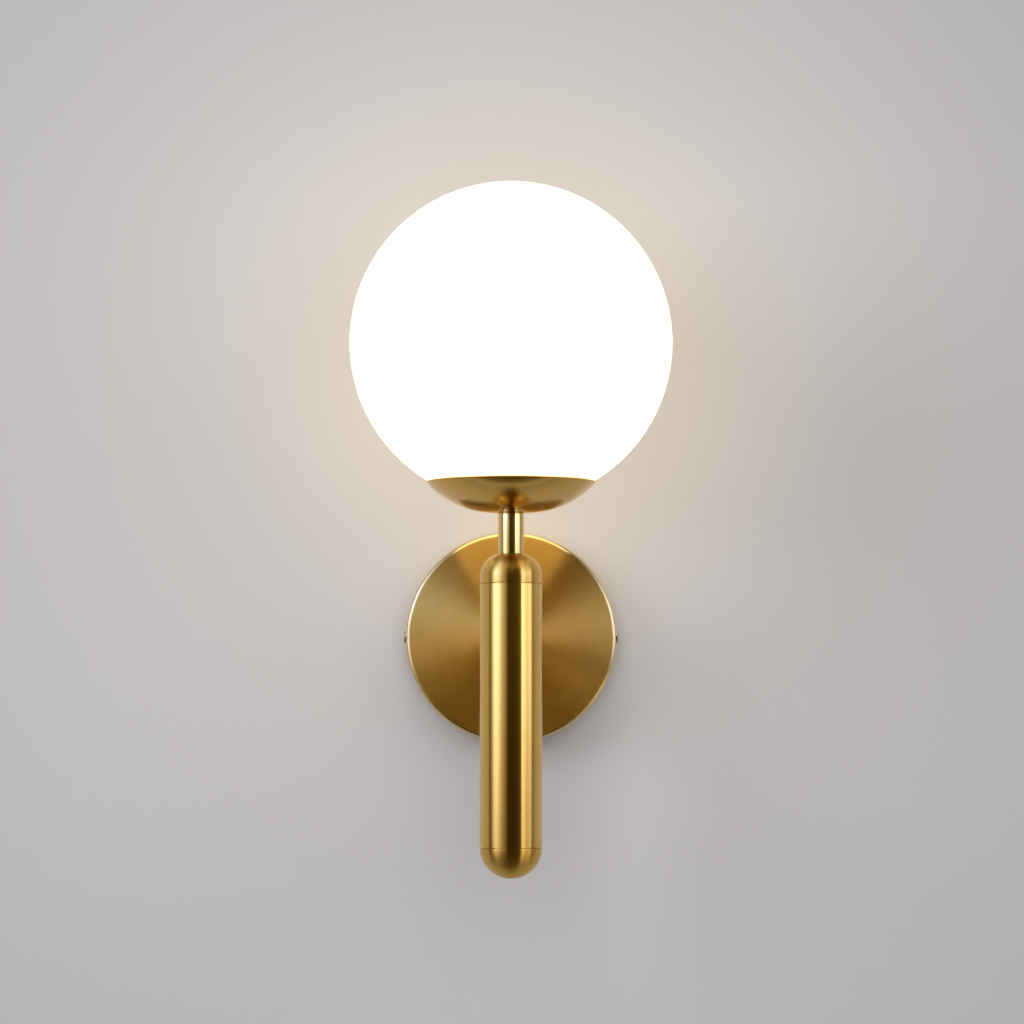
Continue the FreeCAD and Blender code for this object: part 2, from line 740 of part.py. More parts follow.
def globe_carrier():
    """The turned piece clamped in the cup: a flange for the seal and an upright thread."""
    body = new_body("globe_carrier", y=LAMP_Y, z=CUP_FLOOR)
    hole = "sizes.nipple_radius + sizes.spigot_gap"
    boss, boss_radius = "sizes.carrier_boss", "sizes.cup_floor_radius"
    flange_top = "(%s + sizes.carrier_flange)" % boss
    disc_top = "(%s + sizes.carrier_disc)" % boss
    revolve(body, [
        (hole, "0"), (boss_radius, "0"), (boss_radius, boss),
        ("sizes.carrier_flange_radius", boss), ("sizes.carrier_flange_radius", flange_top),
        ("sizes.globe_thread_radius", flange_top),
        ("sizes.globe_thread_radius", "sizes.carrier_height"),
        ("sizes.carrier_bore", "sizes.carrier_height"), ("sizes.carrier_bore", disc_top),
        (hole, disc_top),
    ])
    return keep(body)


def seal_ring():
    """The flat silicone ring that the glass is screwed down on."""
    level = "%s + sizes.carrier_boss + sizes.carrier_flange" % CUP_FLOOR
    body = new_body("seal_ring", y=LAMP_Y, z=level)
    inner = "sizes.globe_thread_radius + sizes.seal_clearance"
    revolve(body, [
        (inner, "0"), ("sizes.seal_radius", "0"),
        ("sizes.seal_radius", "sizes.seal_thickness"), (inner, "sizes.seal_thickness"),
    ])
    return keep(body)


def globe_ring():
    """The threaded ring bonded into the mouth of the glass, its flange just under the glass."""
    body = new_body("globe_ring", y=LAMP_Y, z=CUP_FLOOR)
    bore = "sizes.globe_thread_radius + sizes.running_gap"
    foot = "sizes.carrier_boss + sizes.carrier_flange + sizes.seal_thickness"
    flange, sleeve = "sizes.ring_flange_radius", "sizes.ring_sleeve_radius"
    glass_centre = "(sizes.cup_depth - sizes.cup_wall + sizes.globe_above_rim)"
    under_glass = "{0} - sqrt((sizes.globe_radius + sizes.running_gap)^2 - {1}^2)"
    revolve(body, [
        (bore, foot), (flange, foot), (flange, under_glass.format(glass_centre, flange)),
        (sleeve, under_glass.format(glass_centre, sleeve)), (sleeve, "sizes.ring_top"),
        (bore, "sizes.ring_top"),
    ])
    return keep(body)


def globe_glass():
    """The hollow opal globe, open at its mouth below."""
    body = new_body("globe_glass", y=LAMP_Y, z=GLOBE_CENTRE)
    outer, mouth = "sizes.globe_radius", "sizes.globe_mouth"
    inner = "(sizes.globe_radius - sizes.globe_wall)"
    edge = "-sqrt({0}^2 - {1}^2)"
    revolve(body, [
        (mouth, edge.format(outer, mouth), outer, "left"), ("0", outer),
        ("0", inner, inner, "right"), (mouth, edge.format(inner, mouth)),
    ])
    return keep(body)


def glass_bond():
    """The bead of clear silicone that holds the ring in the glass, inside the globe."""
    body = new_body("glass_bond", y=LAMP_Y, z=GLOBE_CENTRE)
    inner = "(sizes.globe_radius - sizes.globe_wall - sizes.running_gap)"
    near = "(sizes.ring_sleeve_radius + sizes.running_gap)"
    far = "(sizes.ring_sleeve_radius + sizes.bond_reach)"
    edge = "-sqrt({0}^2 - {1}^2)"
    revolve(body, [
        (near, edge.format(inner, near)), (far, edge.format(inner, far)),
        (near, "%s + sizes.bond_reach" % edge.format(inner, near)),
    ])
    return keep(body)


def holder_strap():
    """The bent steel strap that carries the bulb's holder over the nut."""
    body = new_body("holder_strap", y=LAMP_Y, z=DISC_TOP)
    face = "(sizes.holder_flat + sizes.strap_thickness)"
    inside, sheet = "sizes.holder_flat", "sizes.strap_thickness"
    bend, top = "sizes.strap_bend_radius", "sizes.strap_height"
    inner_bend = "%s - %s" % (bend, sheet)
    right, left = "%s - %s" % (face, bend), "-%s + %s" % (face, bend)
    side = new_sketch(body, "XZ_Plane")
    draw_outline(side, [
        ("-" + face, bend, bend, "left"), (left, "0"),
        (right, "0", bend, "left"), (face, bend), (face, top), (inside, top),
        (inside, bend, inner_bend, "right"), (right, sheet),
        (left, sheet, inner_bend, "right"), ("-" + inside, bend),
        ("-" + inside, top), ("-" + face, top),
    ])
    pad(body, side, "2 * sizes.strap_half_width", symmetric=True)
    centre_hole = new_sketch(body, "XY_Plane")
    draw_circle(centre_hole, "0", "0", "sizes.nipple_radius + sizes.spigot_gap")
    pocket(body, centre_hole)
    screw_holes = new_sketch(body, "YZ_Plane")
    draw_circle(screw_holes, "0", "sizes.holder_screw_height",
                "sizes.small_screw_radius + sizes.thread_gap")
    pocket(body, screw_holes)
    return keep(body)


def lampholder():
    """The ceramic holder: two flats for the strap, a seat, and a room below each pin slot."""
    body = new_body("lampholder", y=LAMP_Y, z=HOLDER_BASE)
    revolve(body, [
        ("0", "0"), ("sizes.holder_radius", "0"),
        ("sizes.holder_radius", "sizes.holder_height"), ("0", "sizes.holder_height"),
    ])
    for sign in ("", "-"):
        flat = new_sketch(body, "XY_Plane")
        near, far = sign + "sizes.holder_flat", sign + "(sizes.holder_radius + sizes.cut_past)"
        draw_rectangle(flat, near, "-sizes.holder_radius", far, "sizes.holder_radius")
        pocket(body, flat)
    seat = new_sketch(body, "XY_Plane", "sizes.holder_height")
    draw_rectangle(seat, "-sizes.holder_seat_length / 2", "-sizes.holder_seat_width / 2",
                   "sizes.holder_seat_length / 2", "sizes.holder_seat_width / 2")
    pocket(body, seat, "sizes.holder_seat_depth")
    for sign in ("", "-"):
        centre = sign + "sizes.pin_offset"
        room = new_sketch(body, "XY_Plane")
        draw_rectangle(room, centre + " - sizes.pin_room_length / 2", "-sizes.pin_room_width / 2",
                       centre + " + sizes.pin_room_length / 2", "sizes.pin_room_width / 2")
        pocket(body, room, "sizes.pin_room_top", reverse=True)
        slot = new_sketch(body, "XY_Plane")
        draw_rectangle(slot, centre + " - sizes.pin_slot_length / 2", "-sizes.pin_slot_width / 2",
                       centre + " + sizes.pin_slot_length / 2", "sizes.pin_slot_width / 2")
        pocket(body, slot)
        hole_end = sign + "(sizes.holder_flat - sizes.holder_screw_reach)"
        screw_hole = new_sketch(body, "YZ_Plane", hole_end)
        draw_circle(screw_hole, "0", "sizes.holder_screw_height - sizes.holder_lift",
                    "sizes.small_screw_radius + sizes.thread_gap")
        pocket(body, screw_hole, "sizes.holder_screw_reach + sizes.cut_past", reverse=sign == "")
    return keep(body)


def lampholder_screws():
    """The two screws that hold the ceramic between the strap's arms."""
    screws = []
    for name, sign, turn in (("right", "", TO_RIGHT), ("left", "-", TO_LEFT)):
        screws.append(screw(
            "holder_screw_" + name, "sizes.small_screw_radius",
            "sizes.strap_thickness + sizes.holder_screw_reach - sizes.screw_end_gap",
            "sizes.small_screw_head_radius", "sizes.small_screw_head_height", turn=turn,
            x=sign + "(sizes.holder_flat + sizes.strap_thickness)", y=LAMP_Y,
            z=DISC_TOP + " + sizes.holder_screw_height"))
    return keep_group("lampholder_screws", screws)


def lampholder_contacts():
    """Two sprung metal clips, each with a leaf either side of its pin."""
    clips = []
    inner = "(sizes.bulb_pin_radius + sizes.running_gap)"
    outer = "(%s + sizes.contact_sheet)" % inner
    for name, sign in (("right", ""), ("left", "-")):
        body = new_body("contact_" + name, x=sign + "sizes.pin_offset", y=LAMP_Y,
                        z=HOLDER_BASE + " + sizes.contact_start")
        section = new_sketch(body, "YZ_Plane")
        draw_outline(section, [
            ("-" + outer, "0"), (outer, "0"), (outer, "sizes.contact_height"),
            (inner, "sizes.contact_height"), (inner, "sizes.contact_sheet"),
            ("-" + inner, "sizes.contact_sheet"), ("-" + inner, "sizes.contact_height"),
            ("-" + outer, "sizes.contact_height"),
        ])
        pad(body, section, "sizes.contact_width", symmetric=True)
        clips.append(body)
    return keep_group("lampholder_contacts", clips)


def bulb_pins():
    """The bulb's two pins, each a loop of round wire."""
    pins = []
    wire, half = "sizes.bulb_pin_radius", "sizes.bulb_pin_half_width"
    length = "sizes.bulb_pin_length"
    straight = "(%s - %s - %s)" % (length, half, wire)
    for name, sign in (("right", ""), ("left", "-")):
        legs = []
        for leg_name, leg_sign in (("outer", "+"), ("inner", "-")):
            leg = DOC.addObject("Part::Cylinder", "pin_leg_%s_%s" % (name, leg_name))
            leg.setExpression("Radius", wire)
            leg.setExpression("Height", straight)
            place(leg, "%ssizes.pin_offset %s %s" % (sign, leg_sign, half), LAMP_Y,
                  "%s - %s" % (BULB_SEAT, straight))
            legs.append(leg)
        bow = DOC.addObject("Part::Torus", "pin_bow_" + name)
        bow.setExpression("Radius1", half)
        bow.setExpression("Radius2", wire)
        bow.Angle3 = 180
        place(bow, sign + "sizes.pin_offset", LAMP_Y, "%s - %s" % (BULB_SEAT, straight),
              Rotation(Vector(1, 0, 0), -90))
        pin = DOC.addObject("Part::MultiFuse", "pin_" + name)
        pin.Shapes = legs + [bow]
        pins.append(pin)
    return keep_group("bulb_pins", pins)


def bulb_base():
    """The bulb's white base: a flat foot in the holder's seat under a round hollow body."""
    body = new_body("bulb_base", y=LAMP_Y, z=BULB_SEAT)
    seat, top = "sizes.holder_seat_depth + sizes.bulb_base_lift", "sizes.bulb_base_top"
    inner, floor = "sizes.bulb_radius - sizes.bulb_base_wall", seat + " + sizes.bulb_base_floor"
    revolve(body, [
        ("0", seat), ("sizes.bulb_radius", seat), ("sizes.bulb_radius", top),
        (inner, top), (inner, floor), ("0", floor),
    ])
    foot = new_sketch(body, "XY_Plane")
    draw_rectangle(foot, "-sizes.bulb_foot_length / 2", "-sizes.bulb_foot_width / 2",
                   "sizes.bulb_foot_length / 2", "sizes.bulb_foot_width / 2")
    pad(body, foot, seat)
    return keep(body)


def bulb_dome():
    """The bulb's frosted cover, a thin closed dome standing in the base."""
    body = new_body("bulb_dome", y=LAMP_Y, z=BULB_SEAT)
    outer, top = "sizes.bulb_dome_radius", "sizes.bulb_length"
    inner = "(sizes.bulb_dome_radius - sizes.bulb_dome_wall)"
    foot = "sizes.bulb_base_top"
    revolve(body, [
        (inner, foot), (outer, foot), (outer, "%s - %s" % (top, outer), outer, "left"), ("0", top),
        ("0", top + " - sizes.bulb_dome_wall", inner, "right"), (inner, "%s - %s" % (top, outer)),
    ])
    return keep(body)


def bulb_light_board():
    """The upright board that carries the bulb's light sources, inside its dome."""
    board = DOC.addObject("Part::Box", "bulb_light_board")
    board.Label = "bulb_light_board"
    foot = "(sizes.holder_seat_depth + sizes.bulb_base_lift + sizes.bulb_base_floor)"
    board.setExpression("Length", "sizes.light_board_width")
    board.setExpression("Width", "sizes.light_board_thickness")
    board.setExpression("Height", "sizes.light_board_top - " + foot)
    place(board, "-sizes.light_board_width / 2", LAMP_Y + " - sizes.light_board_thickness / 2",
          "%s + %s" % (BULB_SEAT, foot))
    return keep(board)


def terminal_block():
    """The two-pole block on the bracket's tab, with its wire holes and screw wells."""
    body = new_body("terminal_block", turn=OUT_OF_WALL)
    base, height = "sizes.bracket_thickness", "sizes.block_height"
    middle = "sizes.block_top - sizes.block_length / 2"
    outline = new_sketch(body, "XY_Plane", base)
    draw_rectangle(outline, "-sizes.block_width / 2", "sizes.block_top - sizes.block_length",
                   "sizes.block_width / 2", "sizes.block_top")
    draw_circle(outline, "0", middle, "sizes.block_screw_radius + sizes.thread_gap")
    pad(body, outline, height)
    well = new_sketch(body, "XY_Plane", "%s + %s" % (base, height))
    draw_circle(well, "0", middle, "sizes.block_screw_head_radius + sizes.screw_well_gap")
    pocket(body, well, "sizes.block_height / 2")
    bores = new_sketch(body, "XZ_Plane")
    wells = new_sketch(body, "XY_Plane", "sizes.pole_depth")
    for sign in ("", "-"):
        draw_circle(bores, sign + "sizes.pole_offset", "sizes.pole_depth",
                    "sizes.clamp_radius + sizes.thread_gap")
        for spread in ("+", "-"):
            level = "%s %s sizes.clamp_screw_spread" % (middle, spread)
            draw_circle(wells, sign + "sizes.pole_offset", level,
                        "sizes.clamp_screw_head + sizes.screw_well_gap")
    pocket(body, bores)
    pocket(body, wells, height, reverse=True)
    return keep(body)


def terminal_clamps():
    """The brass tube in each pole of the block, with two threaded side holes."""
    clamps = []
    top = "sizes.block_top - (sizes.block_length - sizes.clamp_length) / 2"
    for name, sign in (("right", ""), ("left", "-")):
        body = new_body("clamp_" + name, x=sign + "sizes.pole_offset", y="-sizes.pole_depth", z=top)
        revolve(body, [
            ("sizes.clamp_bore", "-sizes.clamp_length"), ("sizes.clamp_radius", "-sizes.clamp_length"),
            ("sizes.clamp_radius", "0"), ("sizes.clamp_bore", "0"),
        ])
        for spread in ("+", "-"):
            hole = new_sketch(body, "XZ_Plane")
            draw_circle(hole, "0", "-sizes.clamp_length / 2 %s sizes.clamp_screw_spread" % spread,
                        "sizes.clamp_screw_radius + sizes.thread_gap")
            pocket(body, hole, "sizes.clamp_radius + sizes.cut_past", reverse=True)
        clamps.append(body)
    return keep_group("terminal_clamps", clamps)


def terminal_screws():
    """The four clamping screws of the terminal block."""
    screws = []
    middle = "sizes.block_top - sizes.block_length / 2"
    tip = "(sizes.pole_depth + sizes.wire_radius + sizes.spigot_gap)"
    head = "(%s + sizes.clamp_screw_length)" % tip
    for name, sign in (("right", ""), ("left", "-")):
        for end, spread in (("upper", "+"), ("lower", "-")):
            screws.append(screw(
                "clamp_screw_%s_%s" % (name, end), "sizes.clamp_screw_radius",
                "sizes.clamp_screw_length", "sizes.clamp_screw_head",
                "sizes.clamp_screw_head_height", turn=OUT_OF_WALL,
                x=sign + "sizes.pole_offset", y="-" + head,
                z="%s %s sizes.clamp_screw_spread" % (middle, spread)))
    return keep_group("terminal_screws", screws)


def terminal_block_screw():
    """The screw that holds the terminal block to the bracket's tab."""
    head = "(sizes.bracket_thickness + sizes.block_height / 2)"
    body = screw(
        "terminal_block_screw", "sizes.block_screw_radius", head + " - sizes.screw_end_gap",
        "sizes.block_screw_head_radius", "sizes.block_screw_head_height", turn=OUT_OF_WALL,
        y="-" + head, z="sizes.block_top - sizes.block_length / 2")
    return keep(body)


def earth_lug(label, ring, hole, barrel_start, barrel_side, **where):
    """A flat ring with a crimp barrel that points up, flat on local z = 0."""
    body = new_body(label, turn=OUT_OF_WALL, **where)
    sheet, barrel = "sizes.lug_sheet", "sizes.lug_barrel_radius"
    flat = new_sketch(body, "XY_Plane")
    draw_circle(flat, "0", "0", ring)
    draw_circle(flat, "0", "0", hole)
    pad(body, flat, sheet)
    tongue = new_sketch(body, "XY_Plane")
    draw_rectangle(tongue, "-" + barrel, ring + " - sizes.lug_overlap",
                   barrel, barrel_start + " + sizes.lug_overlap")
    pad(body, tongue, sheet)
    end = new_sketch(body, "XZ_Plane", "-(%s)" % barrel_start)
    level = barrel if barrel_side == "+" else "%s - %s" % (sheet, barrel)
    draw_circle(end, "0", level, barrel)
    pad(body, end, "sizes.lug_barrel_length", reverse=True)
    bore = new_sketch(body, "XZ_Plane", "-(%s)" % barrel_start)
    draw_circle(bore, "0", level, "sizes.wire_radius + sizes.running_gap")
    pocket(body, bore, "sizes.lug_barrel_length")
    return keep(body)


def bent_path(points, bends):
    """A wire of straight runs joined by tangent arcs; bends are the arcs' radii."""
    edges = []
    start = points[0]
    for corner, following, radius in zip(points[1:-1], points[2:], bends):
        back = (start - corner).normalize()
        onward = (following - corner).normalize()
        half_turn = (math.pi - back.getAngle(onward)) / 2
        setback = radius * math.tan(half_turn)
        first, last = corner + back * setback, corner + onward * setback
        inward = (back + onward).normalize()
        middle = corner + inward * (radius / math.cos(half_turn) - radius)
        edges.append(Part.LineSegment(start, first).toShape())
        edges.append(Part.Arc(first, middle, last).toShape())
        start = last
    edges.append(Part.LineSegment(start, points[-1]).toShape())
    return Part.Wire(edges)


def inner_wire(label, points, bends):
    """An insulated wire along points of (x, depth out of the wall, height)."""
    radius = number("sizes.wire_radius")
    route = [Vector(x, -depth, z) for x, depth, z in points]
    path = bent_path(route, bends)
    ring = Part.Circle(route[0], route[1] - route[0], radius)
    solid = path.makePipeShell([Part.Wire(ring.toShape())], True, True)
    expected = math.pi * radius ** 2 * path.Length
    print("%s: bend radii %s mm, volume over section times length %.4f"
          % (label, bends, solid.Volume / expected))
    if abs(solid.Volume / expected - 1) > WIRE_VOLUME_ERROR:
        raise RuntimeError("%s has the wrong volume" % label)
    feature = DOC.addObject("Part::Feature", label)
    feature.Label = label
    feature.Shape = solid
    return keep(feature)


def supply_wires():
    """The two wires from the terminal block through arm and stem to the bulb's holder."""
    offset, pole = number("sizes.wire_offset"), number("sizes.pole_offset")
    pin, depth = number("sizes.pin_offset"), number("sizes.pole_depth")
    axis = number("sizes.axis_to_wall")
    spread = NIPPLE_TOP + " + sizes.wire_spread_start"
    bends = [number("sizes." + name) for name in (
        "wire_sway", "wire_sway", "wire_bend", "wire_turn_in_block",
        "wire_spread_bend", "wire_spread_bend")]
    for label, side in (("live_wire", -1), ("neutral_wire", 1)):
        inner_wire(label, [
            (side * pole, depth, number("sizes.block_top - sizes.wire_in_block")),
            (side * pole, depth, number("sizes.block_top + sizes.wire_out_of_block")),
            (side * offset, depth, number("sizes.block_top + sizes.wire_meeting")),
            (side * offset, depth, 0),
            (side * offset, axis, 0),
            (side * offset, axis, number(spread)),
            (side * pin, axis, number(spread + " + sizes.wire_spread_rise")),
            (side * pin, axis, number(HOLDER_BASE + " + sizes.contact_start")),
        ], bends)


def earth_wire():
    """The earth wire, in one loop from the wall plate's lug to the bracket's lug."""
    plate_depth = number("sizes.plate_depth - sizes.plate_face - sizes.washer_thickness"
                         " - sizes.lug_barrel_radius")
    bracket_depth = number("sizes.bracket_thickness + sizes.lug_barrel_radius")
    offset = -number("sizes.earth_screw_offset")
    shoulder, top = number("sizes.earth_loop_shoulder"), number("sizes.earth_loop_top")
    side_bend, top_bend = number("sizes.earth_loop_side_bend"), number("sizes.earth_loop_top_bend")
    inner_wire("earth_wire", [
        (0, plate_depth, number("sizes.plate_lug_barrel_start + sizes.wire_in_barrel")),
        (0, plate_depth, shoulder),
        (offset / 2, (plate_depth + bracket_depth) / 2, top),
        (offset, bracket_depth, shoulder),
        (offset, bracket_depth, number("sizes.bracket_lug_barrel_start + sizes.wire_in_barrel")),
    ], [side_bend, top_bend, side_bend])


def build():
    """Make every sub-part of the lamp, from the wall outwards."""
    wall_bracket()
    canopy()
    canopy_side_screws()
    nipple_room = "sizes.plate_depth - sizes.plate_face - sizes.washer_thickness"
    lug_depth = nipple_room + " - sizes.lug_sheet"
    arm_length = "sizes.axis_to_wall - sizes.joint_room_half - sizes.arm_nipple_start"
    nipple("arm_nipple", arm_length, turn=OUT_OF_WALL, y="-sizes.arm_nipple_start")
    toothed_washer("arm_lock_washer", turn=OUT_OF_WALL, y="-(%s)" % nipple_room)
    hex_nut("arm_nut", turn=OUT_OF_WALL, y="-(%s - sizes.nut_height)" % lug_depth)
    earth_lug("canopy_earth_lug", "sizes.plate_lug_radius", "sizes.nipple_radius + sizes.spigot_gap",
              "sizes.plate_lug_barrel_start", "-", y="-(%s)" % lug_depth)
    earth_lug("bracket_earth_lug", "sizes.bracket_lug_radius",
              "sizes.earth_screw_radius + sizes.spigot_gap",
              "sizes.bracket_lug_barrel_start", "+",
              x="-sizes.earth_screw_offset", y="-sizes.bracket_thickness")
    earth_screw()
    terminal_block()
    terminal_clamps()
    terminal_screws()
    terminal_block_screw()
    arm_tube()
    bar_tube()
    bar_top_cap()
    bar_bottom_cap()
    bar_joint_block()
    tie_rod()
    nipple("stem_nipple", NIPPLE_TOP + " - sizes.joint_room_half",
           y=LAMP_Y, z="sizes.joint_room_half")
    stem_tube()
    shade_cup()
    globe_carrier()
    holder_strap()
    toothed_washer("stem_lock_washer", y=LAMP_Y, z=STRAP_TOP)
    hex_nut("stem_nut", y=LAMP_Y, z=STEM_NUT_FOOT)
    lampholder()
    lampholder_screws()
    lampholder_contacts()
    seal_ring()
    globe_ring()
    globe_glass()
    glass_bond()
    bulb_base()
    bulb_dome()
    bulb_light_board()
    bulb_pins()
    supply_wires()
    earth_wire()


def check():
    """Stop before anything is written if an object failed or a shape is not sound."""
    DOC.recompute()
    for item in DOC.Objects:
        if "Invalid" in item.State or "Error" in item.State:
            raise RuntimeError("%s failed: %s" % (item.Label, item.State))
    for item in NODES:
        if item.Shape.isNull() or not item.Shape.isValid() or not item.Shape.Solids:
            raise RuntimeError("%s has no sound shape" % item.Label)


def write():
    """Write each sub-part to a file of its own, and print its solids and size."""
    os.makedirs("parts", exist_ok=True)
    for item in NODES:
        item.Shape.exportStep(os.path.join("parts", item.Label + ".step"))
        box = item.Shape.BoundBox
        print("%-22s %d solids %9.1f mm3  x %.1f..%.1f  y %.1f..%.1f  z %.1f..%.1f" % (
            item.Label, len(item.Shape.Solids), item.Shape.Volume,
            box.XMin, box.XMax, box.YMin, box.YMax, box.ZMin, box.ZMax))


build()
check()
write()
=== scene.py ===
import json
import math

import bmesh
import bpy
from bpy.props import FloatProperty, FloatVectorProperty, IntProperty, PointerProperty
from mathutils import Matrix, Vector

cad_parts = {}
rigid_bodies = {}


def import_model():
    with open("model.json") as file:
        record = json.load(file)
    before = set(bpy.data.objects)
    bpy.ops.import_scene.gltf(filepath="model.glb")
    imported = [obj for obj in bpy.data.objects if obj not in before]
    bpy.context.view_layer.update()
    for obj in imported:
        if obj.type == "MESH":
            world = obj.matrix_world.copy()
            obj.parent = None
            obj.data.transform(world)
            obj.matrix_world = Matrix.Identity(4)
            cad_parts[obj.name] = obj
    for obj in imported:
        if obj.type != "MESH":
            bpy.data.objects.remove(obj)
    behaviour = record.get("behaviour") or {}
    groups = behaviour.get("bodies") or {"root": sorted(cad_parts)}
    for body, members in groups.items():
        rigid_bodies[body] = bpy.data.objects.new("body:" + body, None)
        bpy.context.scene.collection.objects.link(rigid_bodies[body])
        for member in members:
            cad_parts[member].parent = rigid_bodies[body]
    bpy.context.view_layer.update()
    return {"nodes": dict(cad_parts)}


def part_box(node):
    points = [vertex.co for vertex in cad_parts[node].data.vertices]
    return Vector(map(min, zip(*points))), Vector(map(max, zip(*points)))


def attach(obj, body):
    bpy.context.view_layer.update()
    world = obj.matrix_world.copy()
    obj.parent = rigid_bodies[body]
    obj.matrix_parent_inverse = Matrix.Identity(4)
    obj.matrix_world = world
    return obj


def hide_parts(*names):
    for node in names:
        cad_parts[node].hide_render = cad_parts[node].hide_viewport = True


for leftover in list(bpy.data.objects):
    bpy.data.objects.remove(leftover)
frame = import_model()

bl_info = {
    "name": "Globe wall sconce",
    "version": (1, 0, 0),
    "blender": (4, 5, 0),
    "location": "3D View > Sidebar > Sconce",
    "description": "Dresses the frame of a wall lamp with an opal globe on a brass bar",
    "category": "Object",
}

# The frame is in metres. The wall is y = 0, the lamp stands out of it along -Y, and +Z is up.
NODES = frame["nodes"]
MM = 0.001


def low(node):
    """The lowest corner of a CAD node."""
    return Vector(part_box(node)[0])


def high(node):
    """The highest corner of a CAD node."""
    return Vector(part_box(node)[1])


def middle(node):
    """The middle of a CAD node's box."""
    return (low(node) + high(node)) / 2


def upright_size(node):
    """Radius, foot and top of a node that is turned on the lamp's axis."""
    return high(node).x, low(node).z, high(node).z


def outward_size(node):
    """Radius of a node that is turned on the plate's axis, and how far off the wall its two ends are."""
    return high(node).x, -high(node).y, -low(node).y


LAMP_AXIS = Vector((0.0, middle("bar_tube").y, 0.0))
CUP_FLOOR = low("shade_cup").z
CUP_RIM = high("shade_cup").z
GLOBE_RADIUS = high("globe_glass").x
GLOBE_CENTRE = high("globe_glass").z - GLOBE_RADIUS
# The wall plate's radius, and the radius from which its rim has its own paler finish.
PLATE_RADIUS = 51.0 * MM
PLATE_RIM = 49.4 * MM
# Pieces that fit into each other keep this distance.
FIT = 0.05 * MM
# Radius of the bore of both hollow threaded tubes, and of the plain holes that they pass through.
TUBE_BORE = 3.6 * MM
TUBE_HOLE = 5.0 * MM + FIT


def length(name, text, default):
    """A size of the lamp that a user may change."""
    return FloatProperty(name=name, description=text, default=default, unit="LENGTH", precision=5, min=0.0)


def colour(name, text, default):
    """A colour of the lamp that a user may change."""
    return FloatVectorProperty(name=name, description=text, default=default, subtype="COLOR",
                               size=3, min=0.0, max=1.0)


class SconceSizes(bpy.types.PropertyGroup):
    """Sizes of the dressed pieces, beyond those that the frame gives."""

    globe_wall: length("Globe wall", "Thickness of the opal glass", 2.4 * MM)
    plate_sheet: length("Plate sheet", "Thickness of the wall plate's face", 1.2 * MM)
    plate_edge: length("Plate edge", "Radius of the wall plate's front edge", 2.0 * MM)
    cup_sheet: length("Cup sheet", "Thickness of the cup", 0.8 * MM)
    cup_floor: length("Cup floor", "Radius of the flat middle of the cup", 8.0 * MM)
    cap_corner: length("Cap corner", "Corner radius of the bar's top cap", 10.5 * MM)
    seam: length("Seam", "Width of the fine groove at each seam of the bar", 0.42 * MM)
    tube_thread: length("Tube thread", "Pitch of the hollow threaded tubes", 1.0 * MM)
    globe_thread: length("Globe thread", "Pitch of the globe's thread", 3.0 * MM)
    globe_thread_depth: length("Globe thread depth", "Depth of the globe's thread", 0.8 * MM)
    soft_edge: length("Soft edge", "Radius of the broken edges of carrier, globe ring and seal", 0.25 * MM)
    around: IntProperty(name="Segments", description="Faces round a turned piece", default=160, min=24)
    light_rows: IntProperty(name="Light rows", description="Rows of light sources on the board",
                            default=9, min=1)


class SconceFinishes(bpy.types.PropertyGroup):
    """Colours of the lamp and its stage."""

    brass: colour("Satin brass", "Brushed brass of bar, arm and plate", (0.80, 0.52, 0.135))
    # The foot's brass is darkened as painted shade, for the darker reflections on the bar's foot.
    foot_shaded_brass: colour("Foot brass", "Slightly deeper brass of the bar's foot", (0.70, 0.43, 0.09))
    cup_brass: colour("Cup brass", "Slightly darker brass of the cup", (0.67, 0.42, 0.10))
    pale_brass: colour("Polished brass", "Polished brass of the stem", (0.83, 0.60, 0.23))
    raw_brass: colour("Turned brass", "Unfinished brass of inner pieces", (0.78, 0.55, 0.24))
    zinc: colour("Zinc plate", "Zinc-plated steel", (0.56, 0.57, 0.59))
    nickel: colour("Nickel plate", "Nickel-plated steel", (0.66, 0.62, 0.56))
    opal: colour("Opal glass", "Opal glass of the globe, unlit", (0.86, 0.84, 0.80))
    glow: colour("Glow", "Colour of the lit globe", (1.0, 0.80, 0.48))
    glow_strength: FloatProperty(name="Glow strength", description="How brightly the globe is lit",
                                 default=2.25, min=0.0, max=10.0)
    ceramic: colour("Ceramic", "Ceramic of the bulb's holder", (0.80, 0.78, 0.73))
    wall: colour("Wall", "Painted wall", (0.555, 0.543, 0.556))
    floor: colour("Floor", "Floor below the lamp", (0.34, 0.33, 0.33))


def add_node(tree, kind, sockets=None, **settings):
    """Add a node, set its options, and give its sockets a value or a link."""
    node = tree.nodes.new(kind)
    for name, value in settings.items():
        setattr(node, name, value)
    for key, value in (sockets or {}).items():
        if isinstance(value, bpy.types.NodeSocket):
            tree.links.new(value, node.inputs[key])
        else:
            node.inputs[key].default_value = value
    return node


def math_step(tree, operation, *values):
    """One step of arithmetic."""
    return add_node(tree, "ShaderNodeMath", dict(enumerate(values)), operation=operation).outputs[0]


def vector_step(tree, operation, *values):
    """One step with vectors. A length comes out as a number."""
    node = add_node(tree, "ShaderNodeVectorMath", dict(enumerate(values)), operation=operation)
    return node.outputs["Value" if operation == "LENGTH" else "Vector"]


def scaled(tree, vector, amount):
    """A vector made longer or shorter."""
    sockets = {0: vector, "Scale": amount}
    return add_node(tree, "ShaderNodeVectorMath", sockets, operation="SCALE").outputs[0]


def range_step(tree, value, start, end, from_low, from_high, **settings):
    """A value stretched from one range to another, and held inside it."""
    return add_node(tree, "ShaderNodeMapRange", {
        "Value": value, "From Min": from_low, "From Max": from_high, "To Min": start, "To Max": end,
    }, **settings).outputs[0]


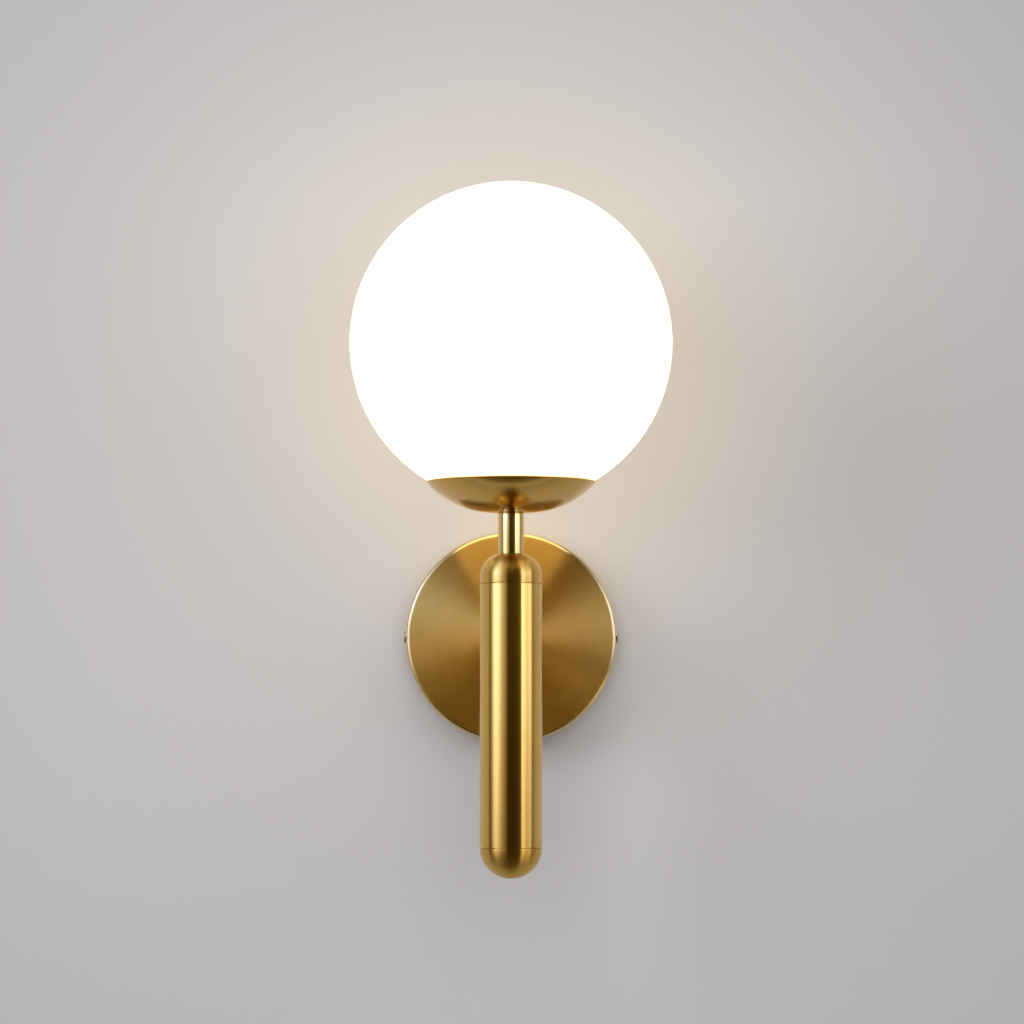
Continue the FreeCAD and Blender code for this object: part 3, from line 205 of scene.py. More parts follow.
def colour_step(tree, amount, *colours):
    """Two colours mixed, each of them a socket or plain numbers."""
    sockets = {"Factor": amount}
    for index, value in zip((6, 7), colours):
        linked = isinstance(value, bpy.types.NodeSocket)
        sockets[index] = value if linked else tuple(value)[:3] + (1.0,)
    return add_node(tree, "ShaderNodeMix", sockets, data_type="RGBA").outputs[2]


def empty_tree(owner):
    """The node tree of a new material or world, cleared."""
    owner.use_nodes = True
    owner.node_tree.nodes.clear()
    return owner.node_tree


class Finish:
    """A procedural material under construction. Its methods add nodes and give an output socket."""

    def __init__(self, name, constants=None):
        self.material = bpy.data.materials.new(name)
        self.tree = empty_tree(self.material)
        self.surface = self.node("ShaderNodeBsdfPrincipled", constants)
        self.output = self.node("ShaderNodeOutputMaterial", {"Surface": self.surface.outputs[0]})

    def node(self, kind, sockets=None, **settings):
        """Add a node to this material, and give the node."""
        return add_node(self.tree, kind, sockets, **settings)

    def vector(self, operation, *values):
        """One step with vectors."""
        return vector_step(self.tree, operation, *values)

    def place(self, centre=(0.0, 0.0, 0.0)):
        """Object coordinates, measured from a centre."""
        return self.vector("SUBTRACT", self.node("ShaderNodeTexCoord").outputs["Object"], centre)

    def math(self, operation, *values):
        """One step of arithmetic."""
        return math_step(self.tree, operation, *values)

    def times(self, first, second):
        """Two values multiplied."""
        return self.math("MULTIPLY", first, second)

    def mingle(self, first, weight, second):
        """Two values mixed, the first of them with the given weight."""
        return self.math("ADD", self.times(first, weight), self.times(second, 1.0 - weight))

    def split(self, vector):
        """The three parts of a vector."""
        return list(self.node("ShaderNodeSeparateXYZ", {0: vector}).outputs)

    def join(self, x=0.0, y=0.0, z=0.0):
        """A vector from its three parts."""
        return self.node("ShaderNodeCombineXYZ", {0: x, 1: y, 2: z}).outputs[0]

    def mapped(self, vector, scale, turn=(0.0, 0.0, 0.0)):
        """A vector scaled on each axis, then turned."""
        return self.node("ShaderNodeMapping", {0: vector, 2: turn, 3: scale}).outputs[0]

    def on_axes(self, vector, start, end):
        """A direction taken from the object's own axes to the world's, or back."""
        return self.node("ShaderNodeVectorTransform", {0: vector}, vector_type="VECTOR",
                         convert_from=start, convert_to=end).outputs[0]

    def normal(self):
        """The direction that the surface faces."""
        return self.node("ShaderNodeNewGeometry").outputs["Normal"]

    def noise(self, vector, scale, detail=2.0, rough=0.5, w=None):
        """Soft noise from 0 to 1, with a fourth coordinate where w is given."""
        sockets = {"Vector": vector, "Scale": scale, "Detail": detail, "Roughness": rough}
        if w is None:
            return self.node("ShaderNodeTexNoise", sockets).outputs["Fac"]
        return self.node("ShaderNodeTexNoise", dict(sockets, W=w), noise_dimensions="4D").outputs["Fac"]

    def spread(self, value, start, end, from_low=0.3, from_high=0.7):
        """A value stretched, where nothing else is said from the middle range of a noise."""
        return range_step(self.tree, value, start, end, from_low, from_high)

    def blend(self, amount, first, second):
        """Two colours mixed."""
        return colour_step(self.tree, amount, first, second)

    def clouded(self, value, share, base):
        """A colour that a noise darkens in places, down to a share of itself."""
        return self.blend(self.spread(value, 0.0, 1.0), [channel * share for channel in base], base)

    def bump(self, height, distance):
        """A normal from a height, in metres from its lowest to its highest."""
        return self.node("ShaderNodeBump", {"Height": height, "Distance": distance}).outputs[0]

    def drive(self, **sockets):
        """Link outputs to the surface's sockets, with underscores for spaces, and give the material."""
        for name, output in sockets.items():
            self.tree.links.new(output, self.surface.inputs[name.replace("_", " ")])
        return self.material


BLACK = (0.0, 0.0, 0.0)
# The wall plate's rim, painted paler as a highlight line and made smoother: how far in it fades, the
# painted highlight's colour and its share of that, and how much of the roughness it loses.
RIM_FADE = 0.6 * MM
RIM_HIGHLIGHT_COLOUR = (0.92, 0.74, 0.42)
RIM_HIGHLIGHT_SHARE = 0.7
RIM_POLISH = 0.35


def turned_parts(finish, axis, centre):
    """Distance from an axis, height along it, and the direction round it, for turned pieces."""
    x, y, z = finish.split(finish.place(centre))
    along, across = (z, y) if axis == "Z" else (y, z)
    flat = finish.join(x, across)
    cosine, sine, _ = finish.split(finish.vector("NORMALIZE", flat))
    back = finish.times(across, -1.0)
    ring = finish.join(back, x) if axis == "Z" else finish.join(back, 0.0, x)
    return finish.vector("LENGTH", flat), along, cosine, sine, ring


def brushed_metal(name, base, rough, stretch, axis="Z", line=1400.0, streak=1.4,
                  relief=0.0000015, tint=(0.97, 1.02), worn=0.04, rim=None):
    """Metal brushed in rings round an axis: long fine streaks, and a highlight drawn out across them.

    line is the number of lines in a metre, streak how often they break on the way round, and stretch
    how far the highlight is drawn out. tint and worn say how uneven colour and roughness are.
    """
    finish = Finish(name, {"Metallic": 1.0, "Anisotropic": stretch})
    centre = tuple(LAMP_AXIS) if axis == "Z" else (0.0, 0.0, 0.0)
    radius, along, cosine, sine, ring = turned_parts(finish, axis, centre)

    def rings(lines, streaks):
        """Places that change fast across the lines and slowly along them."""
        return finish.join(finish.times(radius, lines), finish.times(along, lines),
                           finish.times(cosine, streaks))

    turn = finish.times(sine, streak)
    brush = finish.noise(rings(line, streak), 1.0, 4.0, 0.62, turn)
    bands = finish.noise(rings(line / 9, streak / 2), 1.0, 2.0, 0.5, turn)
    cloud = finish.noise(finish.place(centre), 55.0, 3.0, 0.55)
    dark = [channel * tint[0] for channel in base]
    light = [min(channel * tint[1], 1.0) for channel in base]
    body = finish.blend(finish.spread(finish.mingle(brush, 0.6, cloud), 0.0, 1.0), dark, light)
    uneven = finish.spread(finish.mingle(bands, 0.5, cloud), rough * (1 - worn), rough * (1 + worn))
    # A rim radius paints the plate's rim paler, as a painted highlight line, and makes it smoother.
    if rim:
        edge = finish.spread(radius, 0.0, 1.0, rim - RIM_FADE, rim)
        uneven = finish.times(uneven, finish.math("MULTIPLY_ADD", edge, -RIM_POLISH, 1.0))
        body = finish.blend(finish.times(edge, RIM_HIGHLIGHT_SHARE), body, RIM_HIGHLIGHT_COLOUR)
    world_ring = finish.on_axes(ring, "OBJECT", "WORLD")
    return finish.drive(
        Base_Color=body, Roughness=uneven, Normal=finish.bump(brush, relief),
        Tangent=finish.vector("CROSS_PRODUCT", world_ring, finish.normal()))


def plated_steel(name, base, rough, spangle, relief, tint):
    """Plated steel: a faint spangle, cloudy passivation and fine scratches."""
    finish = Finish(name, {"Metallic": 1.0})
    where = finish.place()
    grain = finish.node("ShaderNodeTexVoronoi", {"Vector": where, "Scale": spangle}).outputs["Color"]
    cloud = finish.noise(where, 140.0, 4.0, 0.6)
    scratch = finish.noise(finish.mapped(where, (300.0, 4000.0, 2200.0)), 1.0, 3.0, 0.6)
    level = finish.mingle(finish.split(grain)[0], 0.3, cloud)
    dark = [channel * share for channel, share in zip(base, tint)]
    return finish.drive(
        Base_Color=finish.blend(finish.spread(level, 0.0, 1.0), dark, base),
        Roughness=finish.spread(level, rough * 0.8, rough * 1.25),
        Normal=finish.bump(scratch, relief))


def moulded(name, base, rough, relief, grain=1800.0):
    """Moulded or fired material: even colour with faint clouding, and a fine skin."""
    finish = Finish(name)
    where = finish.place()
    cloud = finish.noise(where, 120.0, 3.0, 0.55)
    skin = finish.noise(where, grain, 3.0, 0.6)
    return finish.drive(
        Base_Color=finish.clouded(cloud, 0.9, base),
        Roughness=finish.spread(skin, rough * 0.85, rough * 1.15),
        Normal=finish.bump(skin, relief))


def opal_glass(name, base, glow, strength):
    """Opal glass lit from inside: an even glow under a glossy skin with a very faint flow."""
    finish = Finish(name, {
        "Roughness": 0.12, "IOR": 1.52, "Emission Strength": strength, "Coat Weight": 0.3,
        "Coat Roughness": 0.05,
    })
    where = finish.place(tuple(LAMP_AXIS + Vector((0.0, 0.0, GLOBE_CENTRE))))
    flow = finish.noise(where, 22.0, 2.0, 0.5)
    height = finish.split(where)[2]
    lift = finish.spread(height, 0.94, 1.0, -GLOBE_RADIUS, GLOBE_RADIUS * 0.2)
    even = finish.times(lift, finish.spread(flow, 0.985, 1.0))
    return finish.drive(
        Base_Color=finish.clouded(flow, 0.97, base), Emission_Color=finish.blend(even, BLACK, glow),
        Normal=finish.bump(flow, 0.00002))


def frosted_cover(name, glow, strength):
    """The bulb's frosted dome, lit by the sources behind it."""
    finish = Finish(name, {"Emission Strength": strength, "IOR": 1.5})
    where = finish.place()
    frost = finish.noise(where, 2500.0, 3.0, 0.6)
    cloud = finish.noise(where, 130.0, 2.0, 0.5)
    return finish.drive(
        Base_Color=finish.blend(finish.spread(cloud, 0.0, 1.0), (0.80, 0.79, 0.76), (0.86, 0.85, 0.82)),
        Emission_Color=finish.blend(finish.spread(cloud, 0.86, 1.0), BLACK, glow),
        Roughness=finish.spread(frost, 0.38, 0.52), Normal=finish.bump(frost, 0.00001))


def clear_silicone(name):
    """Translucent silicone with a slightly tacky, dusty skin."""
    finish = Finish(name, {"Transmission Weight": 0.55, "IOR": 1.41})
    dust = finish.noise(finish.place(), 900.0, 4.0, 0.65)
    return finish.drive(
        Base_Color=finish.blend(finish.spread(dust, 0.0, 1.0), (0.78, 0.79, 0.78), (0.90, 0.91, 0.90)),
        Roughness=finish.spread(dust, 0.25, 0.45), Normal=finish.bump(dust, 0.00001))


def wire_cover(name, base, stripe=None):
    """A wire's plastic cover, smooth and faintly waxy. A stripe lies on its side away from the wall."""
    finish = Finish(name, {"IOR": 1.5, "Coat Weight": 0.15, "Coat Roughness": 0.3})
    where = finish.place()
    cloud = finish.noise(where, 300.0, 3.0, 0.5)
    skin = finish.noise(where, 2500.0, 2.0, 0.5)
    body = finish.clouded(cloud, 0.85, base)
    if stripe:
        facing = finish.split(finish.on_axes(finish.normal(), "WORLD", "OBJECT"))[1]
        body = finish.blend(finish.spread(facing, 0.0, 1.0, -0.05, 0.05), stripe, body)
    return finish.drive(Base_Color=body, Roughness=finish.spread(cloud, 0.32, 0.45),
                        Normal=finish.bump(skin, 0.000006))


def light_board_finish(name):
    """White solder mask with thin copper-coloured tracks showing through."""
    finish = Finish(name, {"Coat Weight": 0.3})
    where = finish.place()
    tracks = finish.node("ShaderNodeTexBrick", {
        "Vector": finish.mapped(where, (420.0, 420.0, 420.0), turn=(1.5708, 0.0, 0.0)),
        "Scale": 1.0, "Mortar Size": 0.06, "Color1": (0.86, 0.86, 0.83, 1.0),
        "Color2": (0.82, 0.82, 0.80, 1.0), "Mortar": (0.70, 0.72, 0.66, 1.0)}).outputs["Color"]
    grain = finish.noise(where, 1800.0, 2.0, 0.5)
    return finish.drive(Base_Color=tracks, Roughness=finish.spread(grain, 0.35, 0.5),
                        Normal=finish.bump(grain, 0.00001))


FINISHES = {}


def plain_name(material):
    """A material's name, without the number that a second one of that name gets."""
    return material.name.split(".")[0]


def make_finishes(tones):
    """Build every material of the lamp. Each of the record's slots has one of its own name."""
    for material in (
            brushed_metal("satin_brass", tones.brass, 0.21, 1.0),
            brushed_metal("satin_brass_crown", tones.brass, 0.27, 1.0),
            # The foot's finish uses the brass darkened as painted shade.
            brushed_metal("satin_brass_foot_shaded", tones.foot_shaded_brass, 0.27, 1.0),
            brushed_metal("satin_brass_cup", tones.cup_brass, 0.2, 0.5, streak=2.0),
            brushed_metal("satin_brass_plate", tones.brass, 0.37, 1.0, "Y", line=850.0, streak=2.4,
                          relief=0.000009, tint=(0.92, 1.03), worn=0.09, rim=PLATE_RIM),
            brushed_metal("satin_brass_arm", tones.brass, 0.22, 0.9, "Y", relief=0.000001),
            brushed_metal("polished_brass", tones.pale_brass, 0.14, 0.15, line=2600.0, relief=0.000001),
            brushed_metal("turned_brass", tones.raw_brass, 0.32, 0.4, line=3200.0),
            brushed_metal("turned_brass_arm", tones.raw_brass, 0.32, 0.4, "Y", line=2600.0),
            brushed_metal("aluminium", (0.80, 0.81, 0.82), 0.3, 0.5, line=2600.0),
            plated_steel("zinc_steel", tones.zinc, 0.36, 260.0, 0.000006, (0.94, 0.92, 0.84)),
            plated_steel("nickel_steel", tones.nickel, 0.2, 900.0, 0.000003, (0.92, 0.92, 0.92)),
            plated_steel("tinned_copper", (0.72, 0.70, 0.66), 0.34, 500.0, 0.000008, (0.96, 0.88, 0.78)),
            opal_glass("opal_glass", tones.opal, tones.glow, tones.glow_strength),
            frosted_cover("frosted_cover", tones.glow, tones.glow_strength * 0.25),
            clear_silicone("clear_silicone"),
            moulded("ceramic", tones.ceramic, 0.55, 0.00003, 1200.0),
            moulded("white_plastic", (0.82, 0.82, 0.80), 0.38, 0.000012, 3000.0),
            moulded("phosphor", (0.86, 0.66, 0.16), 0.5, 0.000005),
            light_board_finish("light_board"),
            wire_cover("brown_wire", (0.16, 0.055, 0.02)),
            wire_cover("blue_wire", (0.02, 0.10, 0.42)),
            wire_cover("green_yellow_wire", (0.02, 0.24, 0.06), (0.80, 0.62, 0.03))):
        FINISHES[plain_name(material)] = material


def modifier_tree(name, **inputs):
    """An empty modifier tree with named inputs. Gives the tree and its input and output nodes."""
    tree = bpy.data.node_groups.new(name, "GeometryNodeTree")
    tree.is_modifier = True
    tree.interface.new_socket("Geometry", in_out="INPUT", socket_type="NodeSocketGeometry")
    for label, kind in dict(inputs, Material="Material").items():
        tree.interface.new_socket(label, in_out="INPUT", socket_type="NodeSocket" + kind)
    tree.interface.new_socket("Geometry", in_out="OUTPUT", socket_type="NodeSocketGeometry")
    return tree, tree.nodes.new("NodeGroupInput").outputs, tree.nodes.new("NodeGroupOutput")


def end_tree(tree, given, end, geometry):
    """Close a modifier tree with Realize Instances and Set Material."""
    real = add_node(tree, "GeometryNodeRealizeInstances", {0: geometry})
    dressed = add_node(tree, "GeometryNodeSetMaterial",
                       {"Geometry": real.outputs[0], "Material": given["Material"]})
    tree.links.new(dressed.outputs[0], end.inputs[0])
    return tree


def turning_tree():
    """Turns a profile, drawn as edges in (radius, height), round the Z axis."""
    tree, given, end = modifier_tree("turned_piece", Segments="Int", Path_Radius="Float")
    profile = add_node(tree, "GeometryNodeMeshToCurve", {0: given["Geometry"]})
    circle = add_node(tree, "GeometryNodeCurvePrimitiveCircle", {
        "Resolution": given["Segments"], "Radius": given["Path_Radius"]})
    upright = add_node(tree, "GeometryNodeSetCurveNormal", {"Curve": circle.outputs[0]}, mode="Z_UP")
    spun = add_node(tree, "GeometryNodeCurveToMesh", {
        "Curve": upright.outputs[0], "Profile Curve": profile.outputs[0]})
    closed = add_node(tree, "GeometryNodeMergeByDistance", {
        "Geometry": spun.outputs[0], "Distance": 1e-6})
    return end_tree(tree, given, end, closed.outputs[0])


def thread_tree():
    """Cuts a helical groove into the points of a turned piece that lie on its threaded round."""
    tree, given, end = modifier_tree(
        "thread_cut", Radius="Float", Depth="Float", Pitch="Float", From="Float", To="Float")

    def step(operation, *values):
        """One step of arithmetic in this tree."""
        return math_step(tree, operation, *values)

    place = add_node(tree, "GeometryNodeInputPosition").outputs[0]
    x, y, z = add_node(tree, "ShaderNodeSeparateXYZ", {0: place}).outputs
    flat = add_node(tree, "ShaderNodeCombineXYZ", {0: x, 1: y}).outputs[0]
    # The turns that the helix has made at a point, with 100 added so that none is below zero.
    turn = step("DIVIDE", step("ARCTAN2", y, x), math.tau)
    turns = step("ADD", step("SUBTRACT", step("DIVIDE", z, given["Pitch"]), turn), 100.0)
    wave = step("ABSOLUTE", step("SUBTRACT", step("FRACT", turns), 0.5))
    groove = range_step(tree, wave, 1.0, 0.0, 0.08, 0.42)
    near_end = step("MINIMUM", step("SUBTRACT", z, given["From"]), step("SUBTRACT", given["To"], z))
    fade = range_step(tree, step("DIVIDE", near_end, given["Pitch"]), 0.0, 1.0, 0.0, 0.4)
    on_round = add_node(tree, "FunctionNodeCompare", {
        0: vector_step(tree, "LENGTH", flat), 1: given["Radius"], 12: 0.00002},
        data_type="FLOAT", operation="EQUAL").outputs[0]
    cut = step("MULTIPLY", step("MULTIPLY", groove, fade), step("MULTIPLY", given["Depth"], -1.0))
    moved = add_node(tree, "GeometryNodeSetPosition", {
        "Geometry": given["Geometry"], "Selection": on_round,
        "Offset": scaled(tree, vector_step(tree, "NORMALIZE", flat), cut)})
    return end_tree(tree, given, end, moved.outputs[0])


def row_tree():
    """Sets one object on each point, its Z axis along the point's own direction."""
    tree, given, end = modifier_tree("row_of_pieces", Piece="Object")
    piece = add_node(tree, "GeometryNodeObjectInfo", {"Object": given["Piece"]})
    heading = add_node(tree, "GeometryNodeInputNamedAttribute", {"Name": "heading"},
                       data_type="FLOAT_VECTOR").outputs["Attribute"]
    turn = add_node(tree, "FunctionNodeAlignRotationToVector", {"Vector": heading}, axis="Z")
    points = add_node(tree, "GeometryNodeInstanceOnPoints", {
        "Points": given["Geometry"], "Instance": piece.outputs["Geometry"], "Rotation": turn.outputs[0]})
    return end_tree(tree, given, end, points.outputs[0])


TREES = {}


def tree_named(name):
    """A modifier tree, built the first time it is asked for."""
    makers = {"turned_piece": turning_tree, "thread_cut": thread_tree, "row_of_pieces": row_tree}
    if name not in TREES:
        TREES[name] = makers[name]()
    return TREES[name]


def run_tree(item, name, **values):
    """Run a modifier tree on an object and keep the result as its plain mesh."""
    tree = tree_named(name)
    modifier = item.modifiers.new(name, "NODES")
    modifier.node_group = tree
    for socket in tree.interface.items_tree:
        if socket.in_out == "INPUT" and socket.name in values:
            modifier[socket.identifier] = values[socket.name]
    return bake_modifiers(item)


def bake_modifiers(item):
    """Keep an object's evaluated mesh, and take its modifiers off."""
    bpy.context.view_layer.update()
    graph = bpy.context.evaluated_depsgraph_get()
    mesh = bpy.data.meshes.new_from_object(item.evaluated_get(graph), depsgraph=graph)
    item.modifiers.clear()
    item.data = mesh
    return item


def place_object(name, data):
    """An object of the scene, at the origin."""
    item = bpy.data.objects.new(name, data)
    bpy.context.scene.collection.objects.link(item)
    return item


def new_object(name, points, edges=(), faces=()):
    """A mesh object at the origin."""
    mesh = bpy.data.meshes.new(name)
    mesh.from_pydata([tuple(point) for point in points], list(edges), list(faces))
    return place_object(name, mesh)


def arc(centre_r, centre_z, radius, first, last, steps):
    """Points of a profile on an arc, in degrees from the +radius direction towards +Z."""
    points = []
    for step in range(steps + 1):
        angle = math.radians(first + (last - first) * step / steps)
        points.append((centre_r + radius * math.cos(angle), centre_z + radius * math.sin(angle)))
    return points


def soften(corners, steps=4):
    """A closed profile with its corners rounded: each is (radius, height) and may add its own radius."""
    points = []
    count = len(corners)
    for index, corner in enumerate(corners):
        here = Vector(corner[:2])
        if len(corner) == 2 or corner[2] <= 0.0:
            points.append(tuple(here))
            continue
        back = Vector(corners[index - 1][:2]) - here
        onward = Vector(corners[(index + 1) % count][:2]) - here
        half = back.angle(onward) / 2
        setback = min(corner[2] / math.tan(half), back.length * 0.49, onward.length * 0.49)
        size = setback * math.tan(half)
        centre = here + (back.normalized() + onward.normalized()).normalized() * (size / math.sin(half))
        first = here + back.normalized() * setback - centre
        last = here + onward.normalized() * setback - centre
        sweep = first.angle_signed(last)
        for step in range(steps + 1):
            turned = first.copy()
            turned.rotate(Matrix.Rotation(-sweep * step / steps, 2))
            points.append(tuple(centre + turned))
    return points


def divide(points, radius, spacing):
    """A profile with its upright runs at one radius cut into short steps, for a thread."""
    result = []
    for index, point in enumerate(points):
        following = points[(index + 1) % len(points)]
        result.append(point)
        if max(abs(point[0] - radius), abs(following[0] - radius)) > 1e-6:
            continue
        count = math.ceil(abs(following[1] - point[1]) / spacing)
        result.extend((radius, point[1] + (following[1] - point[1]) * step / count)
                      for step in range(1, count))
    return result


SHARP_ANGLE = math.radians(32.0)
FLAT_ANGLE = math.radians(0.5)
BEVEL_ANGLE = math.radians(40.0)


def close_mesh(item, merge, join_flats=False):
    """Merge doubles, clear what is degenerate or flat, and turn faces outwards."""
    shape = bmesh.new()
    shape.from_mesh(item.data)
    bmesh.ops.remove_doubles(shape, verts=shape.verts, dist=merge)
    if join_flats:
        bmesh.ops.dissolve_limit(shape, angle_limit=FLAT_ANGLE, verts=shape.verts, edges=shape.edges)
    else:
        bmesh.ops.dissolve_degenerate(shape, edges=shape.edges, dist=1e-8)
    bmesh.ops.recalc_face_normals(shape, faces=shape.faces)
    shape.to_mesh(item.data)
    shape.free()


def tidy_mesh(item):
    """Close a mesh, and shade it smooth except at sharp edges."""
    close_mesh(item, 1e-7)
    item.data.shade_smooth()
    item.data.set_sharp_from_angle(angle=SHARP_ANGLE)
    return item


def spin(name, profile, finish, around, closed=True):
    """A profile turned round the Z axis at the origin."""
    path_radius = 1.0 * MM
    points = [(radius - path_radius, -height, 0.0) for radius, height in profile]
    count = len(points)
    edges = [(index, (index + 1) % count) for index in range(count if closed else count - 1)]
    item = new_object(name, points, edges)
    return run_tree(item, "turned_piece", Segments=around, Path_Radius=path_radius, Material=finish)


def turn_piece(name, profile, finish, along="Z", thread=None, closed=True, around=None):
    """A turned piece on the lamp's axis, or on the plate's axis with its heights out of the wall."""
    item = spin(name, profile, finish, around or bpy.context.scene.sconce_sizes.around, closed)
    if thread:
        radius, depth, pitch, first, last = thread
        run_tree(item, "thread_cut", Radius=radius, Depth=depth, Pitch=pitch, From=first, To=last,
                 Material=finish)
    if along == "Z":
        item.data.transform(Matrix.Translation(LAMP_AXIS))
    else:
        item.data.transform(Matrix.Rotation(math.radians(90), 4, "X"))
    return tidy_mesh(item)


def soft_copy(name, node, finish, edge):
    """A copy of a CAD node with its edges broken."""
    source = NODES[node].data
    item = new_object(name, [vertex.co for vertex in source.vertices],
                      faces=[tuple(face.vertices) for face in source.polygons])
    item.data.materials.append(finish)
    close_mesh(item, 1e-6, join_flats=True)
    bevel = item.modifiers.new("edges", "BEVEL")
    bevel.width = edge
    bevel.segments = 2
    bevel.limit_method = "ANGLE"
    bevel.angle_limit = BEVEL_ANGLE
    return tidy_mesh(bake_modifiers(item))


# The cross drive of a pan-head screw, as shares of the head's radius and height: the length and width
# of its arms, and the size and level of the cutter's lower and upper end.
DRIVE_ARM, DRIVE_WIDTH = 0.6, 0.13
DRIVE_ENDS = ((0.8, 0.45), (1.1, 1.2))


def pan_screw(finish, radius, height, shank, reach):
    """One pan-head screw at the origin, its head up +Z, with a cross drive."""
    steps = 12
    profile = []
    for step in range(steps + 1):
        turn = math.radians(90 * step / steps)
        profile.append((radius * math.sin(turn), height * (0.5 + 0.5 * math.cos(turn))))
    tip, bevel = min(0.4 * MM, shank / 3), 0.12 * height
    profile += [(radius, bevel), (radius - bevel, 0.0), (shank, 0.0),
                (shank, tip - reach), (shank - tip, -reach), (0.0, -reach)]
    screw = tidy_mesh(spin("screw", profile, finish, 48, closed=False))
    arm, half = radius * DRIVE_ARM, radius * DRIVE_WIDTH
    outline = [(half, arm), (half, half), (arm, half), (arm, -half), (half, -half), (half, -arm),
               (-half, -arm), (-half, -half), (-arm, -half), (-arm, half), (-half, half), (-half, arm)]
    count = len(outline)
    points = [(x * size, y * size, height * level) for size, level in DRIVE_ENDS for x, y in outline]
    faces = [(step, (step + 1) % count, count + (step + 1) % count, count + step) for step in range(count)]
    faces += [tuple(range(count)), tuple(range(2 * count - 1, count - 1, -1))]
    cutter = tidy_mesh(new_object("cutter", points, faces=faces))
    drive = screw.modifiers.new("drive", "BOOLEAN")
    drive.object = cutter
    drive.solver = "EXACT"
    bake_modifiers(screw)
    bpy.data.objects.remove(cutter)
    return tidy_mesh(screw)


def set_out(name, piece, finish, places):
    """Copies of a piece, each at a place and with its Z axis along a heading. The piece goes."""
    item = new_object(name, [place for place, _ in places])
    heading = item.data.attributes.new("heading", "FLOAT_VECTOR", "POINT")
    for index, (_, direction) in enumerate(places):
        heading.data[index].vector = direction
    run_tree(item, "row_of_pieces", Piece=piece, Material=finish)
    bpy.data.objects.remove(piece)
    return tidy_mesh(item)


def finish_piece(item, body, slot, *nodes):
    """Tie a finished piece to its body, and hide the CAD nodes that it stands for. The slot is not used."""
    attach(item, body)
    if nodes:
        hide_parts(*nodes)


def turn_for(node, name, profile, finish, slot=None, body="wall_unit", **how):
    """Turn a piece that stands for a CAD node. The slot, the finish's name where none is given, is passed
    on but not used.
    """
    piece = turn_piece(name, profile, FINISHES[finish], **how)
    finish_piece(piece, body, slot or finish, node)


def soften_for(node, name, slot, edge, body="wall_unit"):
    """Break the edges of a copy that stands for a CAD node, by a radius in millimetres."""
    finish_piece(soft_copy(name, node, FINISHES[slot], edge * MM), body, slot, node)


class SCONCE_OT_finishes(bpy.types.Operator):
    """Build the materials and give them to the CAD nodes that stay"""

    bl_idname = "sconce.finishes"
    bl_label = "Finishes"

    def execute(self, context):
        make_finishes(context.scene.sconce_finishes)
        for item in NODES.values():
            materials = item.data.materials
            finish = FINISHES[plain_name(materials[0])]
            for index in range(len(materials)):
                materials[index] = finish
        return {"FINISHED"}


class SCONCE_OT_wall_plate(bpy.types.Operator):
    """Turn the round wall plate, a spun shell with a rounded front edge and a rolled back edge"""

    bl_idname = "sconce.wall_plate"
    bl_label = "Wall plate"

    def execute(self, context):
        sizes = context.scene.sconce_sizes
        _, back, front = outward_size("canopy")
        ceiling = front - sizes.plate_sheet
        inner = PLATE_RADIUS - 1.0 * MM
        hole = high("arm_nipple").x + 0.1 * MM
        roll, burr = 0.3 * MM, 0.15 * MM
        profile = soften([
            (PLATE_RADIUS, back, roll), (PLATE_RADIUS, front, sizes.plate_edge), (hole, front, burr),
            (hole, ceiling, burr), (inner, ceiling, sizes.plate_edge / 2), (inner, back, roll),
        ], 8)
        turn_for("canopy", "wall_plate", profile, "satin_brass_plate", "satin_brass", along="Y", around=256)
        return {"FINISHED"}


class SCONCE_OT_bar(bpy.types.Operator):
    """Turn the bar: its long tube and its two round caps, with a fine seam between them"""

    bl_idname = "sconce.bar"
    bl_label = "Bar"

    def execute(self, context):
        sizes = context.scene.sconce_sizes
        outer, foot, seam = upright_size("bar_tube")
        inner, gap, edge = outer - 1.2 * MM, sizes.seam, 0.06 * MM
        tube = soften([(inner, foot + gap, edge), (outer, foot + gap, edge), (outer, seam - gap, edge),
                       (inner, seam - gap, edge)], 5)
        turn_for("bar_tube", "bar_sleeve", tube, "satin_brass")

        # Each cap has a hollow spigot that goes into the tube.
        spigot, spigot_depth = inner - FIT, 5.0 * MM
        hollow = spigot - 2.0 * MM
        top = high("bar_top_cap").z + 0.3 * MM
        ceiling = top - 3.0 * MM
        seat, seat_level = high("stem_tube").x + FIT, low("stem_tube").z
        corner = sizes.cap_corner
        shoulder = outer - corner
        seat_angle = math.degrees(math.acos((seat - shoulder) / corner))
        cap = [(hollow, seam - spigot_depth), (spigot, seam - spigot_depth), (spigot, seam)]
        cap += arc(outer - edge, seam + edge, edge, -90.0, 0.0, 5)
        cap += arc(shoulder, top - corner, corner, 0.0, seat_angle, 28)
        cap += [(seat, seat_level), (TUBE_HOLE, seat_level), (TUBE_HOLE, ceiling), (hollow, ceiling)]
        turn_for("bar_top_cap", "bar_crown", cap, "satin_brass_crown", "satin_brass")

        # The foot is part of a sphere, with a bored boss inside for the tie rod.
        bottom = low("bar_bottom_cap").z
        deep = foot - bottom
        sphere = (outer ** 2 + deep ** 2) / (2 * deep)
        centre = bottom + sphere
        rim_angle = math.degrees(math.asin((foot - edge - centre) / sphere))
        rim = sphere * math.cos(math.radians(rim_angle))
        inside_top, inside_floor = foot + spigot_depth, foot - 2.0 * MM
        boss, bore, bore_end = 6.0 * MM, 3.1 * MM, foot - 7.0 * MM
        cap = [(0.0, bottom)] + arc(0.0, centre, sphere, -90.0, rim_angle, 40)[1:]
        cap += arc(rim - edge, foot - edge, edge, 0.0, 90.0, 5)
        cap += [(spigot, foot), (spigot, inside_top), (hollow, inside_top), (hollow, inside_floor),
                (boss, inside_floor), (boss, inside_top), (bore, inside_top), (bore, bore_end),
                (0.0, bore_end)]
        turn_for("bar_bottom_cap", "bar_foot", cap, "satin_brass_foot_shaded", "satin_brass", closed=False)
        return {"FINISHED"}


